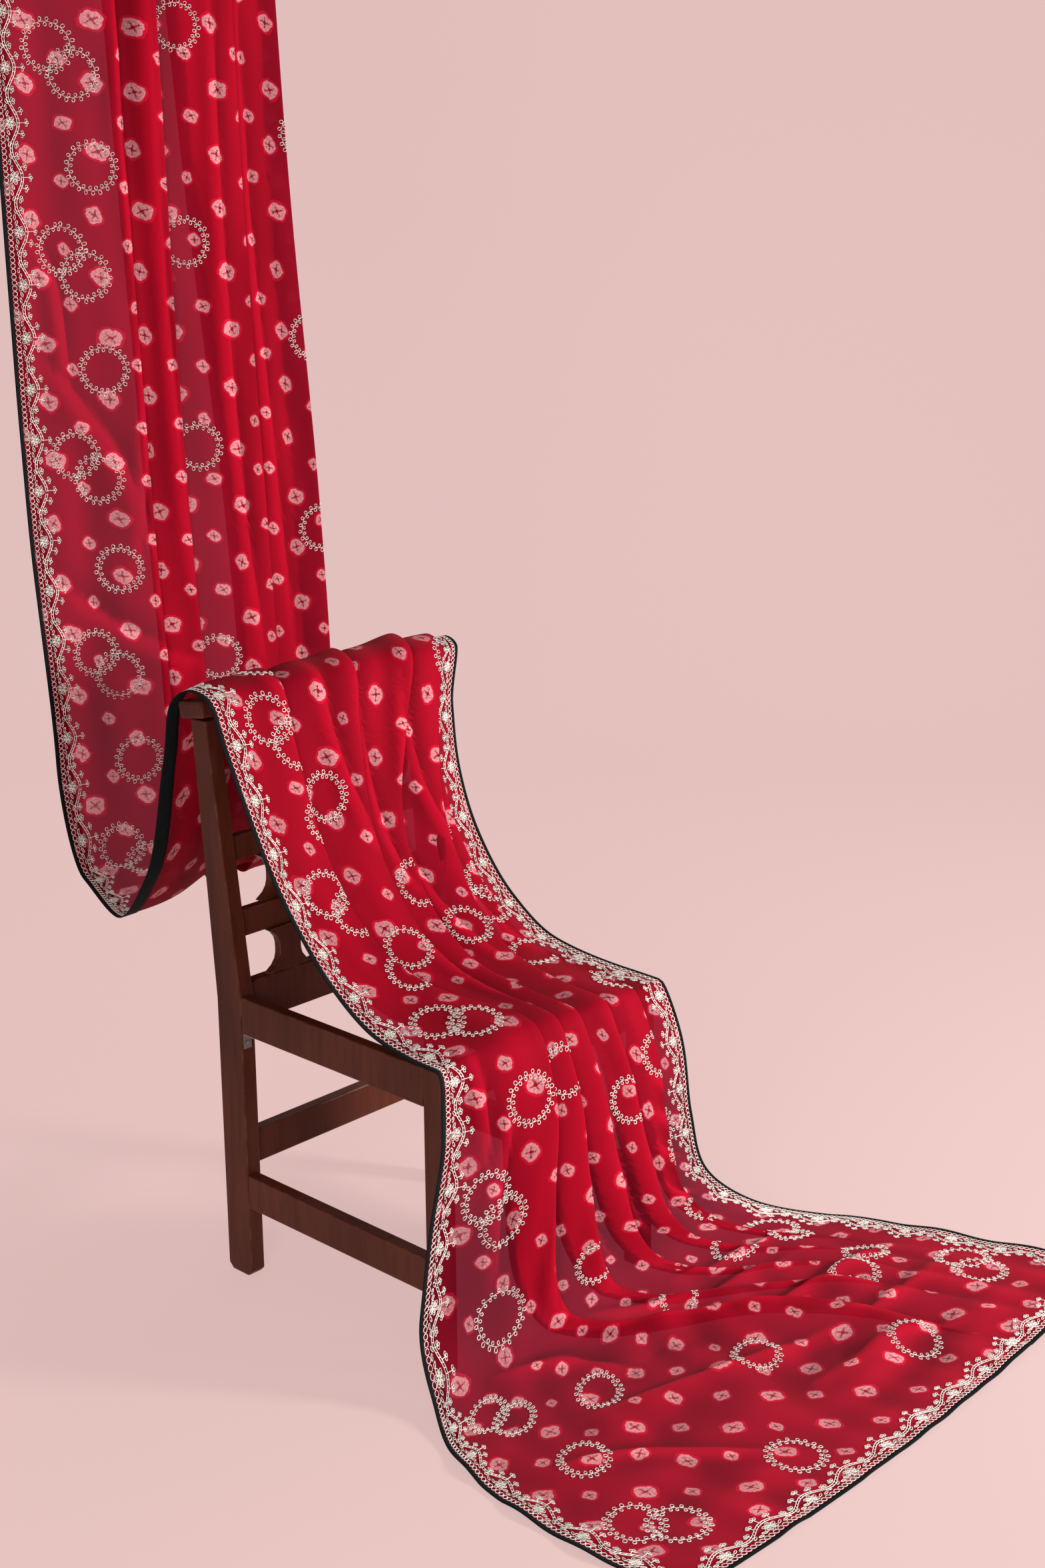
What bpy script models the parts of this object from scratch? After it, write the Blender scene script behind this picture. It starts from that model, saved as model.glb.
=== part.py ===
"""Bandhani cloth draped over a wooden chair.

A sheer length of tie-dyed cloth hangs from above, swags behind the chair, comes up over the crest rail, slopes down to
the front of the open seat frame, falls to the floor and spreads there. Metres, +Z up. While it is built the frame is
the chair's own: X runs along the chair's width from the outer face of its near rear leg, Y runs from front to back with
0 at that leg's front face, and Z is height over the floor. At the end everything is moved so that the origin is the
centre of the whole object's footprint box, on the floor.
"""

import math

import bmesh
import bpy
import numpy as np
from mathutils import Vector

NAME = "bandhani_cloth_over_chair"
GAP = 0.0003            # between pieces that meet

# ---------------------------------------------------------------- chair sizes
CHAIR_WIDTH = 0.441     # over the legs' outer faces
LEG_WIDTH = 0.025       # along X
REAR_LEG_DEPTH = 0.053
FRONT_LEG_DEPTH = 0.034
FRONT_LEG_Y = -0.410    # front face of the front legs
POST_TOP_FRONT = 0.051  # the raked post's front and back edges at its top
POST_TOP_BACK = 0.082
POST_TOP_Z = 0.8520
SEAT_TOP = 0.450
SIDE_RAIL_HEIGHT = 0.057
SIDE_RAIL_THICK = 0.019
REAR_RAIL_HEIGHT = 0.064
REAR_RAIL_TOP = 0.462
REAR_RAIL_Y = 0.012
RAIL_THICK = 0.020
STRETCHER_TOP = 0.167
STRETCHER_HEIGHT = 0.053
STRETCHER_THICK = 0.020
REAR_STRETCHER_TOP = 0.227
REAR_STRETCHER_HEIGHT = 0.052
CREST_LENGTH = 0.461
CREST_OVERHANG = 0.010
CREST_DEPTH = 0.053
CREST_HEIGHT = 0.026
CREST_CENTRE = (0.0715, 0.8675)     # Y and Z of its section's centre
CREST_TILT = math.radians(-9.5)     # its top leans down towards the back
EDGE_ROUND = 0.002

# Cross rails of the back. Columns: name, height of the lower edge, height of the upper edge.
BACK_RAILS = (
    ("back_rail_upper", 0.642, 0.680),
    ("back_rail_lower", 0.531, 0.572),
)
BACK_RAIL_THICK = 0.016
SPLATS = 3
SPLAT_WIDTH = 0.040
SPLAT_FLARE = 0.022
SPLAT_THICK = 0.012
BRACKET_LEG = 0.024
BRACKET_WIDTH = 0.014
BRACKET_THICK = 0.0016

# ---------------------------------------------------------------- cloth sizes
CLOTH_WIDTH = 1.075
CLOTH_THICK = 0.002
BINDING_THICK = 0.0008
BINDING_FACE = 0.0045   # its width on the face
BINDING_BACK = 0.025    # its width on the reverse
FOLD_TURN = math.radians(174.0)
FINE_STEPS = 1400       # steps across the width when a section is worked out
FLAT_COLUMNS = 2        # columns within each flat span between pleats
LAP_COLUMNS = 0         # and within each overlap
LEAST_COLUMN = 0.0015   # least distance between two columns
HEM_CELL = 0.027        # the outermost cells, just wider than the binding on the reverse

# Sections of the drape, from the hanging end to the hem. Columns: name, left border x y z, right border x y z,
# crown (how far the middle stands out towards the face), bow (how far the middle runs ahead of the borders), softness
# (half the length of a pleat's turn), and how many rows of faces lead to the next section.
SECTIONS = (
    ("top",          (0.100, 0.612, 1.950), (0.535, 0.530, 1.950), 0.015, 0.000, 0.0056, 1),
    ("hang_upper",   (0.103, 0.612, 1.500), (0.550, 0.530, 1.500), 0.020, 0.000, 0.0056, 2),
    ("hang_middle",  (0.112, 0.612, 1.050), (0.575, 0.528, 1.050), 0.020, 0.000, 0.0060, 2),
    ("hang_low",     (0.127, 0.602, 0.660), (0.590, 0.520, 0.680), 0.018, 0.000, 0.0065, 4),
    ("swag_behind",  (0.105, 0.515, 0.485), (0.590, 0.455, 0.505), 0.010, 0.000, 0.0062, 4),
    ("swag_bottom",  (0.046, 0.355, 0.476), (0.560, 0.325, 0.490), 0.010, 0.000, 0.0065, 4),
    ("rise_low",     (-0.002, 0.205, 0.585), (0.520, 0.205, 0.610), 0.010, 0.000, 0.0055, 3),
    ("rise_high",    (-0.009, 0.135, 0.785), (0.508, 0.135, 0.785), 0.004, 0.000, 0.0045, 2),
    ("crest_back",   (-0.010, 0.106, 0.876), (0.504, 0.106, 0.872), 0.001, 0.000, 0.0034, 2),
    ("crest_top",    (-0.009, 0.072, 0.892), (0.502, 0.072, 0.890), 0.001, 0.000, 0.0034, 2),
    ("crest_front",  (-0.009, 0.037, 0.884), (0.492, 0.038, 0.880), 0.001, 0.000, 0.0036, 3),
    ("slope_high",   (-0.005, 0.012, 0.815), (0.466, 0.022, 0.795), 0.000, 0.000, 0.0044, 3),
    ("slope_upper",  (0.000, -0.040, 0.690), (0.466, 0.008, 0.690), -0.010, 0.000, 0.0044, 3),
    ("slope_middle", (0.000, -0.112, 0.583), (0.465, -0.035, 0.595), -0.015, 0.000, 0.0042, 2),
    ("slope_low",    (0.000, -0.190, 0.510), (0.465, -0.105, 0.513), -0.012, 0.000, 0.0040, 2),
    ("seat_back",    (-0.004, -0.280, 0.468), (0.460, -0.200, 0.466), -0.004, 0.000, 0.0038, 2),
    ("seat_fore",    (-0.006, -0.360, 0.4565), (0.452, -0.320, 0.4570), 0.000, 0.000, 0.0034, 2),
    ("front_corner", (-0.007, -0.410, 0.4550), (0.453, -0.410, 0.4550), 0.000, 0.000, 0.0032, 1),
    ("front_edge",   (-0.008, -0.419, 0.4400), (0.456, -0.421, 0.4400), 0.001, 0.000, 0.0034, 2),
    ("drop_high",    (-0.012, -0.424, 0.355), (0.480, -0.434, 0.350), 0.006, 0.000, 0.0045, 2),
    ("drop_middle",  (-0.036, -0.424, 0.245), (0.500, -0.434, 0.235), 0.010, 0.000, 0.0055, 2),
    ("drop_low",     (-0.060, -0.425, 0.120), (0.550, -0.428, 0.120), 0.014, 0.000, 0.0065, 3),
    ("landing",      (-0.078, -0.462, 0.026), (0.670, -0.452, 0.026), 0.012, 0.000, 0.0070, 4),
    ("floor_back",   (-0.128, -0.545, 0.0030), (0.754, -0.532, 0.0030), -0.0005, 0.000, 0.0120, 2),
    ("floor_middle", (-0.164, -0.680, 0.0030), (0.812, -0.674, 0.0030), -0.0005, 0.010, 0.0160, 2),
    ("floor_fore",   (-0.171, -0.820, 0.0030), (0.857, -0.806, 0.0030), -0.0005, 0.020, 0.0200, 2),
    ("hem",          (-0.152, -0.962, 0.0030), (0.898, -0.934, 0.0030), -0.0005, 0.028, 0.0220, 0),
)

# Pleats, each lying back under itself. Columns: name, then at each stage the place of its edge as a share of the
# section's width, then at each stage its overlap before the pleats are fitted to the cloth's width.
STAGES = (
    "top", "hang_low", "swag_bottom", "crest_top", "slope_middle", "front_edge", "drop_low", "landing", "floor_middle",
    "hem",
)
PLEATS = (
    ("first",
     (0.42, 0.42, 0.40, 0.26, 0.25, 0.37, 0.37, 0.36, 0.68, 0.72),
     (0.012, 0.015, 0.030, 0.060, 0.080, 0.080, 0.060, 0.048, 0.026, 0.006)),
    ("second",
     (0.56, 0.57, 0.60, 0.54, 0.48, 0.47, 0.52, 0.50, 0.76, 0.80),
     (0.070, 0.070, 0.070, 0.075, 0.080, 0.070, 0.050, 0.032, 0.010, 0.004)),
    ("third",
     (0.86, 0.86, 0.85, 0.78, 0.62, 0.57, 0.65, 0.64, 0.82, 0.84),
     (0.034, 0.038, 0.048, 0.075, 0.065, 0.050, 0.042, 0.028, 0.005, 0.003)),
    ("fourth",
     (1.06, 1.10, 1.01, 0.92, 0.82, 0.70, 0.77, 0.76, 0.86, 0.87),
     (0.175, 0.180, 0.130, 0.055, 0.040, 0.040, 0.040, 0.026, 0.003, 0.002)),
    ("fifth",
     (0.84, 0.84, 0.88, 0.89, 0.89, 0.85, 0.87, 0.86, 0.90, 0.90),
     (0.000, 0.000, 0.000, 0.000, 0.016, 0.032, 0.036, 0.022, 0.002, 0.001)),
)
# How far the pleats stand up at each stage, 1 being their natural height and less where they are pressed down.
FULLNESS = (1.00, 0.70, 0.65, 0.75, 0.85, 0.80, 0.90, 0.50, 0.45, 0.12)
RAMP = 0.090            # length over which a layer rises onto the pleat beside it

# Materials. Columns: name, colour, roughness, metallic.
CLOTH_FINISH = ("bandhani_georgette", (0.62, 0.02, 0.05), 0.70, 0.0)
BINDING_FINISH = ("black_binding", (0.012, 0.014, 0.016), 0.80, 0.0)
WOOD_FINISH = ("stained_wood", (0.11, 0.03, 0.018), 0.38, 0.0)
STEEL_FINISH = ("grey_steel", (0.42, 0.42, 0.43), 0.45, 1.0)


# ---------------------------------------------------------------- scene helpers
def clear_scene():
    for obj in list(bpy.data.objects):
        bpy.data.objects.remove(obj, do_unlink=True)


def make_collection(name):
    collection = bpy.data.collections.new(name)
    bpy.context.scene.collection.children.link(collection)
    return collection


def make_material(name, colour, roughness, metallic):
    material = bpy.data.materials.get(name)
    if material:
        return material
    material = bpy.data.materials.new(name)
    material.use_nodes = True
    shader = material.node_tree.nodes["Principled BSDF"]
    shader.inputs["Base Color"].default_value = (*colour, 1.0)
    shader.inputs["Roughness"].default_value = roughness
    shader.inputs["Metallic"].default_value = metallic
    material.diffuse_color = (*colour, 1.0)
    return material


def add_object(name, mesh, finish, collection):
    """One named piece in the object's collection, with its own material."""
    obj = bpy.data.objects.new(name, mesh)
    obj.data.materials.append(make_material(f"{finish[0]}_{name}", *finish[1:]))
    collection.objects.link(obj)
    return obj


def soften_edges(obj, width=EDGE_ROUND, segments=2):
    bevel = obj.modifiers.new("rounded_edges", "BEVEL")
    bevel.width = width
    bevel.segments = segments
    bevel.limit_method = "ANGLE"
    bevel.angle_limit = math.radians(35)
    return bevel


# ---------------------------------------------------------------- chair pieces
def box_piece(name, low, high, finish, collection, width=EDGE_ROUND):
    """A straight stick from its lowest to its highest corner, with rounded edges."""
    low, high = Vector(low), Vector(high)
    mesh = bpy.data.meshes.new(name)
    bm = bmesh.new()
    bmesh.ops.create_cube(bm, size=1.0)
    bmesh.ops.scale(bm, vec=high - low, verts=bm.verts)
    bm.to_mesh(mesh)
    bm.free()
    obj = add_object(name, mesh, finish, collection)
    obj.location = 0.5 * (low + high)
    soften_edges(obj, width)
    return obj


def outline_piece(name, outline, thickness, finish, collection):
    """A flat outline cut from a board: the outline's points are (across, up) and the board stands in X and Z."""
    curve = bpy.data.curves.new(name, "CURVE")
    curve.dimensions = "2D"
    curve.fill_mode = "BOTH"
    curve.extrude = 0.5 * thickness
    spline = curve.splines.new("POLY")
    spline.points.add(len(outline) - 1)
    for point, (across, up) in zip(spline.points, outline):
        point.co = (across, up, 0.0, 1.0)
    spline.use_cyclic_u = True
    flat = bpy.data.objects.new(name + "_outline", curve)
    collection.objects.link(flat)
    mesh = bpy.data.meshes.new_from_object(flat.evaluated_get(bpy.context.evaluated_depsgraph_get()))
    bpy.data.objects.remove(flat, do_unlink=True)
    bm = bmesh.new()
    bm.from_mesh(mesh)
    bmesh.ops.remove_doubles(bm, verts=bm.verts, dist=0.00005)
    bmesh.ops.recalc_face_normals(bm, faces=bm.faces)
    bm.to_mesh(mesh)
    bm.free()
    mesh.name = name
    obj = add_object(name, mesh, finish, collection)
    obj.rotation_euler = (math.pi / 2, 0.0, 0.0)
    return obj


def post_edge(z, front):
    """Y of a rear post's front or back edge at height z: upright below the seat, raked and tapered above it."""
    share = max(0.0, min(1.0, (z - SEAT_TOP) / (POST_TOP_Z - SEAT_TOP)))
    foot, top = (0.0, POST_TOP_FRONT) if front else (REAR_LEG_DEPTH, POST_TOP_BACK)
    return foot + (top - foot) * share


def rear_leg_outline():
    """Side outline of a rear leg and its post, as (y, z), with the foot's corners cut back."""
    foot = 0.008
    return [
        (foot, 0.0), (REAR_LEG_DEPTH - foot, 0.0), (REAR_LEG_DEPTH, foot),
        (REAR_LEG_DEPTH, SEAT_TOP), (POST_TOP_BACK, POST_TOP_Z),
        (POST_TOP_FRONT, POST_TOP_Z), (0.0, SEAT_TOP), (0.0, foot),
    ]


def build_legs(collection):
    far = CHAIR_WIDTH - LEG_WIDTH
    for side, x in (("near", 0.0), ("far", far)):
        rear = outline_piece(f"rear_leg_{side}", rear_leg_outline(), LEG_WIDTH, WOOD_FINISH, collection)
        rear.rotation_euler = (math.pi / 2, 0.0, math.pi / 2)
        rear.location = (x + 0.5 * LEG_WIDTH, 0.0, 0.0)
        soften_edges(rear)
        box_piece(
            f"front_leg_{side}",
            (x, FRONT_LEG_Y, 0.0), (x + LEG_WIDTH, FRONT_LEG_Y + FRONT_LEG_DEPTH, SEAT_TOP),
            WOOD_FINISH, collection,
        )


def build_crest_rail(collection):
    y, z = CREST_CENTRE
    rail = box_piece(
        "crest_rail",
        (-CREST_OVERHANG, y - 0.5 * CREST_DEPTH, z - 0.5 * CREST_HEIGHT),
        (CREST_LENGTH - CREST_OVERHANG, y + 0.5 * CREST_DEPTH, z + 0.5 * CREST_HEIGHT),
        WOOD_FINISH, collection, width=0.005,
    )
    rail.rotation_euler = (CREST_TILT, 0.0, 0.0)


def build_back(collection):
    """Two cross rails between the posts, and shaped splats from the lower one down to the seat rail."""
    left, right = LEG_WIDTH + GAP, CHAIR_WIDTH - LEG_WIDTH - GAP
    for name, low, high in BACK_RAILS:
        y = post_edge(0.5 * (low + high), True) + 0.006
        box_piece(name, (left, y, low), (right, y + BACK_RAIL_THICK, high), WOOD_FINISH, collection)
    (_, upper_low, _), (_, lower_low, lower_high) = BACK_RAILS
    pitch = (right - left) / (SPLATS + 1)
    spans = (("upper", lower_high, upper_low), ("lower", REAR_RAIL_TOP, lower_low))
    for i in range(SPLATS):
        x = left + pitch * (i + 1) - (0.012 if i == 0 else 0.0)
        for span, low, high in spans:
            y = post_edge(0.5 * (low + high), True) + 0.014
            piece = outline_piece(
                f"splat_{span}_{i + 1}", splat_outline(low + GAP, high - GAP), SPLAT_THICK, WOOD_FINISH, collection,
            )
            piece.location = (x, y, 0.0)


def splat_outline(low, high):
    """Outline of a splat as (x, z): waisted in the middle, flared in round shoulders where it meets the rails."""
    steps = 8
    side = []
    for i in range(steps + 1):
        share = i / steps
        flare = SPLAT_FLARE * (2.0 * abs(share - 0.5)) ** 3
        side.append((0.5 * SPLAT_WIDTH + flare, low + (high - low) * share))
    return side + [(-x, z) for x, z in reversed(side)]


def build_seat_frame(collection):
    left, right = LEG_WIDTH + GAP, CHAIR_WIDTH - LEG_WIDTH - GAP
    front_y = FRONT_LEG_Y + 0.004
    inner = FRONT_LEG_Y + FRONT_LEG_DEPTH + GAP
    base = SEAT_TOP - SIDE_RAIL_HEIGHT
    for side, x in (("near", 0.0), ("far", CHAIR_WIDTH - SIDE_RAIL_THICK)):
        box_piece(f"seat_rail_{side}", (x, inner, base), (x + SIDE_RAIL_THICK, -GAP, SEAT_TOP), WOOD_FINISH, collection)
        box_piece(
            f"stretcher_{side}",
            (x, inner, STRETCHER_TOP - STRETCHER_HEIGHT), (x + STRETCHER_THICK, -GAP, STRETCHER_TOP),
            WOOD_FINISH, collection,
        )
    box_piece(
        "seat_rail_front", (left, front_y, base), (right, front_y + RAIL_THICK, SEAT_TOP - 0.001),
        WOOD_FINISH, collection,
    )
    box_piece(
        "seat_rail_rear",
        (left, REAR_RAIL_Y, REAR_RAIL_TOP - REAR_RAIL_HEIGHT), (right, REAR_RAIL_Y + RAIL_THICK, REAR_RAIL_TOP),
        WOOD_FINISH, collection,
    )
    box_piece(
        "stretcher_rear",
        (left, REAR_RAIL_Y, REAR_STRETCHER_TOP - REAR_STRETCHER_HEIGHT),
        (right, REAR_RAIL_Y + RAIL_THICK, REAR_STRETCHER_TOP),
        WOOD_FINISH, collection,
    )


def build_bracket(collection):
    """Steel angle under the near side rail, against the rear leg, held by one round-headed screw."""
    top = SEAT_TOP - SIDE_RAIL_HEIGHT - GAP
    x = 0.0025
    outline = [
        (0.0, 0.0), (-BRACKET_LEG, 0.0), (-BRACKET_LEG, -BRACKET_THICK),
        (-BRACKET_THICK, -BRACKET_THICK), (-BRACKET_THICK, -BRACKET_LEG), (0.0, -BRACKET_LEG),
    ]
    angle = outline_piece("corner_bracket", outline, BRACKET_WIDTH, STEEL_FINISH, collection)
    angle.rotation_euler = (math.pi / 2, 0.0, math.pi / 2)
    angle.location = (x + 0.5 * BRACKET_WIDTH, -GAP, top)
    mesh = bpy.data.meshes.new("bracket_screw")
    bm = bmesh.new()
    bmesh.ops.create_uvsphere(bm, u_segments=12, v_segments=6, radius=0.003)
    bmesh.ops.scale(bm, vec=(1.0, 0.4, 1.0), verts=bm.verts)
    bm.to_mesh(mesh)
    bm.free()
    screw = add_object("bracket_screw", mesh, STEEL_FINISH, collection)
    screw.location = (x + 0.5 * BRACKET_WIDTH, -GAP - BRACKET_THICK - 0.0012 - GAP, top - 0.6 * BRACKET_LEG)
    mesh.shade_smooth()


# ---------------------------------------------------------------- the drape
def smooth_curve(knots, values, x):
    """Smooth curve through values at knots that doesn't overshoot them, read at x."""
    values = np.asarray(values, float).reshape(len(knots), -1)
    step = np.diff(knots)[:, None]
    rate = np.diff(values, axis=0) / step
    slope = np.gradient(values, knots, axis=0)
    for i in range(1, len(knots) - 1):
        limit = 2.0 * np.minimum(abs(rate[i - 1]), abs(rate[i]))
        same_way = rate[i - 1] * rate[i] > 0
        slope[i] = np.where(same_way, np.sign(rate[i]) * np.minimum(abs(slope[i]), limit), 0.35 * slope[i])
    i = np.clip(np.searchsorted(knots, x, side="right") - 1, 0, len(knots) - 2)
    h = step[i]
    f = (np.asarray(x) - knots[i])[:, None] / h
    start = (2 * f**3 - 3 * f**2 + 1) * values[i] + (f**3 - 2 * f**2 + f) * h * slope[i]
    end = (3 * f**2 - 2 * f**3) * values[i + 1] + (f**3 - f**2) * h * slope[i + 1]
    return start + end


def ease(x):
    x = np.clip(x, 0.0, 1.0)
    return x * x * (3.0 - 2.0 * x)


def section_column(index):
    return np.array([section[index] for section in SECTIONS], float)


def section_lengths():
    """How far along the cloth each section lies, measured midway between its borders."""
    left = np.linalg.norm(np.diff(section_column(1), axis=0), axis=1)
    right = np.linalg.norm(np.diff(section_column(2), axis=0), axis=1)
    return np.concatenate([[0.0], np.cumsum(0.5 * (left + right))])


KNOTS = section_lengths()
STAGE_KNOTS = np.array([KNOTS[[s[0] for s in SECTIONS].index(name)] for name in STAGES])


def borders(t):
    return smooth_curve(KNOTS, section_column(1), t), smooth_curve(KNOTS, section_column(2), t)


def section_frames(t):
    """Left border, right border, the way ahead and the face's outward direction at each distance t along the cloth."""
    left, right = borders(t)
    reach = 0.02
    back = sum(borders(np.clip(t - reach, 0.0, KNOTS[-1])))
    fore = sum(borders(np.clip(t + reach, 0.0, KNOTS[-1])))
    ahead = fore - back
    normal = np.cross(ahead, right - left)
    return left, right, ahead / np.linalg.norm(ahead, axis=1)[:, None], normal / np.linalg.norm(normal, axis=1)[:, None]


def column_places(centres, laps, soft):
    """Places of the solid's columns across one section.

    There is one just past each binding. Each pleat always has the same columns, three at each of its two turns, so that
    they follow it down the cloth, and the flat spans have evenly spaced ones.
    """
    at = [0.0, HEM_CELL]
    for centre, lap in zip(centres, laps):
        half = max(0.5 * lap, 1.5 * soft)
        for turn, between in ((centre - half, FLAT_COLUMNS), (centre + half, LAP_COLUMNS)):
            at.extend(np.linspace(at[-1], turn - soft, between + 2)[1:])
            at.extend((turn, turn + soft))
    at.extend(np.linspace(at[-1], CLOTH_WIDTH - HEM_CELL, FLAT_COLUMNS + 2)[1:])
    at = np.array(at + [CLOTH_WIDTH])
    least = LEAST_COLUMN * np.arange(len(at))
    at = np.maximum.accumulate(at - least) + least
    at[:-1] = np.minimum(at[:-1], CLOTH_WIDTH - HEM_CELL - least[:-1][::-1])
    return at


def pleated_sections(t):
    """Sections at distances t: the cloth's own width u, and for each section the places of its columns, its way along
    the chord and its height.

    A section starts as a flat line. Each pleat turns it back over its overlap and forward again, and all overlaps of a
    section are scaled together until the cloth's full width fits between the two borders.
    """
    rows = np.arange(len(t))
    left, right = borders(t)
    chord = np.linalg.norm(right - left, axis=1)
    soft = smooth_curve(KNOTS, section_column(5), t)
    edge = np.stack([smooth_curve(STAGE_KNOTS, place, t)[:, 0] for _, place, _ in PLEATS], 1) * chord[:, None]
    overlap = np.stack([smooth_curve(STAGE_KNOTS, lap, t)[:, 0] for _, _, lap in PLEATS], 1)
    u = np.linspace(0.0, CLOTH_WIDTH, FINE_STEPS)
    du = u[1] - u[0]

    def heading(scale):
        lap = overlap * scale[:, None]
        taken = np.cumsum(2.0 * lap, 1) - 2.0 * lap
        centre = edge + taken + 0.5 * lap
        angle = np.zeros((len(t), FINE_STEPS))
        for k in range(len(PLEATS)):
            x = u[None] - centre[:, k:k + 1]
            half = 0.5 * lap[:, k:k + 1]
            angle -= 0.5 * FOLD_TURN * (np.tanh((x + half) / soft) - np.tanh((x - half) / soft))
        return angle, lap, centre

    low, high = np.zeros(len(t)), np.full(len(t), 3.0)
    for _ in range(30):
        middle = 0.5 * (low + high)
        too_wide = np.cos(heading(middle)[0]).sum(1) * du > chord
        low = np.where(too_wide, middle, low)
        high = np.where(too_wide, high, middle)
    angle, lap, centre = heading(0.5 * (low + high))

    def walked(rate):
        return np.concatenate([np.zeros((len(t), 1)), np.cumsum(0.5 * (rate[:, 1:] + rate[:, :-1]) * du, 1)], 1)

    along = walked(np.cos(angle))
    along *= (chord / along[:, -1])[:, None]
    height = walked(np.sin(angle))
    lift = np.zeros_like(height)
    for k in range(len(PLEATS)):
        reach = 0.5 * lap[:, k] + 3.0 * soft[:, 0]
        before = np.clip(((centre[:, k] - reach) / du).astype(int), 0, FINE_STEPS - 1)
        after = np.clip(((centre[:, k] + reach) / du).astype(int), 0, FINE_STEPS - 1)
        drop = height[rows, before] - height[rows, after]
        ramp = RAMP + 1.5 * soft
        start = (edge[:, k] - lap[:, k])[:, None] - 0.004 - ramp
        lift += drop[:, None] * ease((along - start) / ramp)
    places = [column_places(*row) for row in zip(centre, lap, soft[:, 0])]
    return u, places, along, height + lift


def drape_surface(t):
    """Fine points of the cloth's middle surface, as (section, step across, xyz), and the places of its columns."""
    left, right, ahead, normal = section_frames(t)
    u, places, along, height = pleated_sections(t)
    chord = np.linalg.norm(right - left, axis=1)[:, None]
    share = along / chord
    inside = np.clip(share, 0.0, 1.0)
    middle = 4.0 * inside * (1.0 - inside)
    height = height * smooth_curve(STAGE_KNOTS, FULLNESS, t) + smooth_curve(KNOTS, section_column(3), t) * middle
    lead = smooth_curve(KNOTS, section_column(4), t) * middle
    flat = left[:, None] + share[..., None] * (right - left)[:, None]
    return u, places, flat + height[..., None] * normal[:, None] + lead[..., None] * ahead[:, None]


def row_distances():
    """Distances along the cloth at which the solid has a row of points, the last but one just past the hem's binding."""
    rows = [KNOTS[0]]
    for i, section in enumerate(SECTIONS[:-1]):
        rows.extend(np.linspace(KNOTS[i], KNOTS[i + 1], section[6] + 1)[1:])
    rows.insert(-1, KNOTS[-1] - HEM_CELL)
    return np.array(rows)


def cloth_grid():
    """Points of the solid's middle surface."""
    u, places, points = drape_surface(row_distances())
    grid = np.empty((len(points), len(places[0]), 3))
    for i, (at, row) in enumerate(zip(places, points)):
        for axis in range(3):
            grid[i, :, axis] = np.interp(at, u, row[:, axis])
    return grid


def grid_mesh(name, grid):
    """Open sheet through a grid of points, facing outwards from the drape's face. The hem's row is split the other way
    so that it matches the binding."""
    rows, columns = grid.shape[:2]
    faces = []
    for i in range(rows - 1):
        for j in range(columns - 1):
            a, b = i * columns + j, (i + 1) * columns + j
            if i < rows - 2:
                faces.extend(((a, b, b + 1), (a, b + 1, a + 1)))
            else:
                faces.extend(((a, b, a + 1), (b, b + 1, a + 1)))
    mesh = bpy.data.meshes.new(name)
    mesh.from_pydata(grid.reshape(-1, 3).tolist(), [], faces)
    mesh.update()
    return mesh


def build_cloth(grid, collection):
    cloth = add_object("cloth", grid_mesh("cloth", grid), CLOTH_FINISH, collection)
    thickness = cloth.modifiers.new("thickness", "SOLIDIFY")
    thickness.thickness = CLOTH_THICK
    thickness.offset = 0.0
    cloth.data.shade_smooth()
    return cloth


def unit(vector):
    return vector / np.linalg.norm(vector)


def binding_stations(grid, normals):
    """Along the bound edges: the edge's point, the direction into the cloth, and the face's direction."""
    last, end = len(grid) - 1, grid.shape[1] - 1
    clear = BINDING_BACK + 0.0005

    def station(row, column, *inner):
        inward = sum(unit(grid[other] - grid[row, column]) for other in inner)
        return grid[row, column], inward, normals[row, column]

    def far_enough(row, column, corner):
        return np.linalg.norm(grid[row, column] - grid[corner]) > clear

    left = [station(i, 0, (i, 1)) for i in range(last) if far_enough(i, 0, (last, 0))]
    hem = [
        station(last, j, (last - 1, j)) for j in range(1, end)
        if far_enough(last, j, (last, 0)) and far_enough(last, j, (last, end))
    ]
    right = [station(i, end, (i, end - 1)) for i in reversed(range(last)) if far_enough(i, end, (last, end))]
    first_corner = station(last, 0, (last, 1), (last - 1, 0))
    second_corner = station(last, end, (last, end - 1), (last - 1, end))
    return left + [first_corner] + hem + [second_corner] + right


def binding_profile():
    """Section of the folded strip as (distance into the cloth, height over its middle), once round."""
    inner = 0.5 * CLOTH_THICK + GAP
    outer = inner + BINDING_THICK
    return [
        (BINDING_BACK, -outer), (-outer + 0.5 * CLOTH_THICK, -outer), (-outer + 0.5 * CLOTH_THICK, outer),
        (BINDING_FACE, outer), (BINDING_FACE, inner), (-GAP, inner), (-GAP, -inner), (BINDING_BACK, -inner),
    ]


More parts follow.
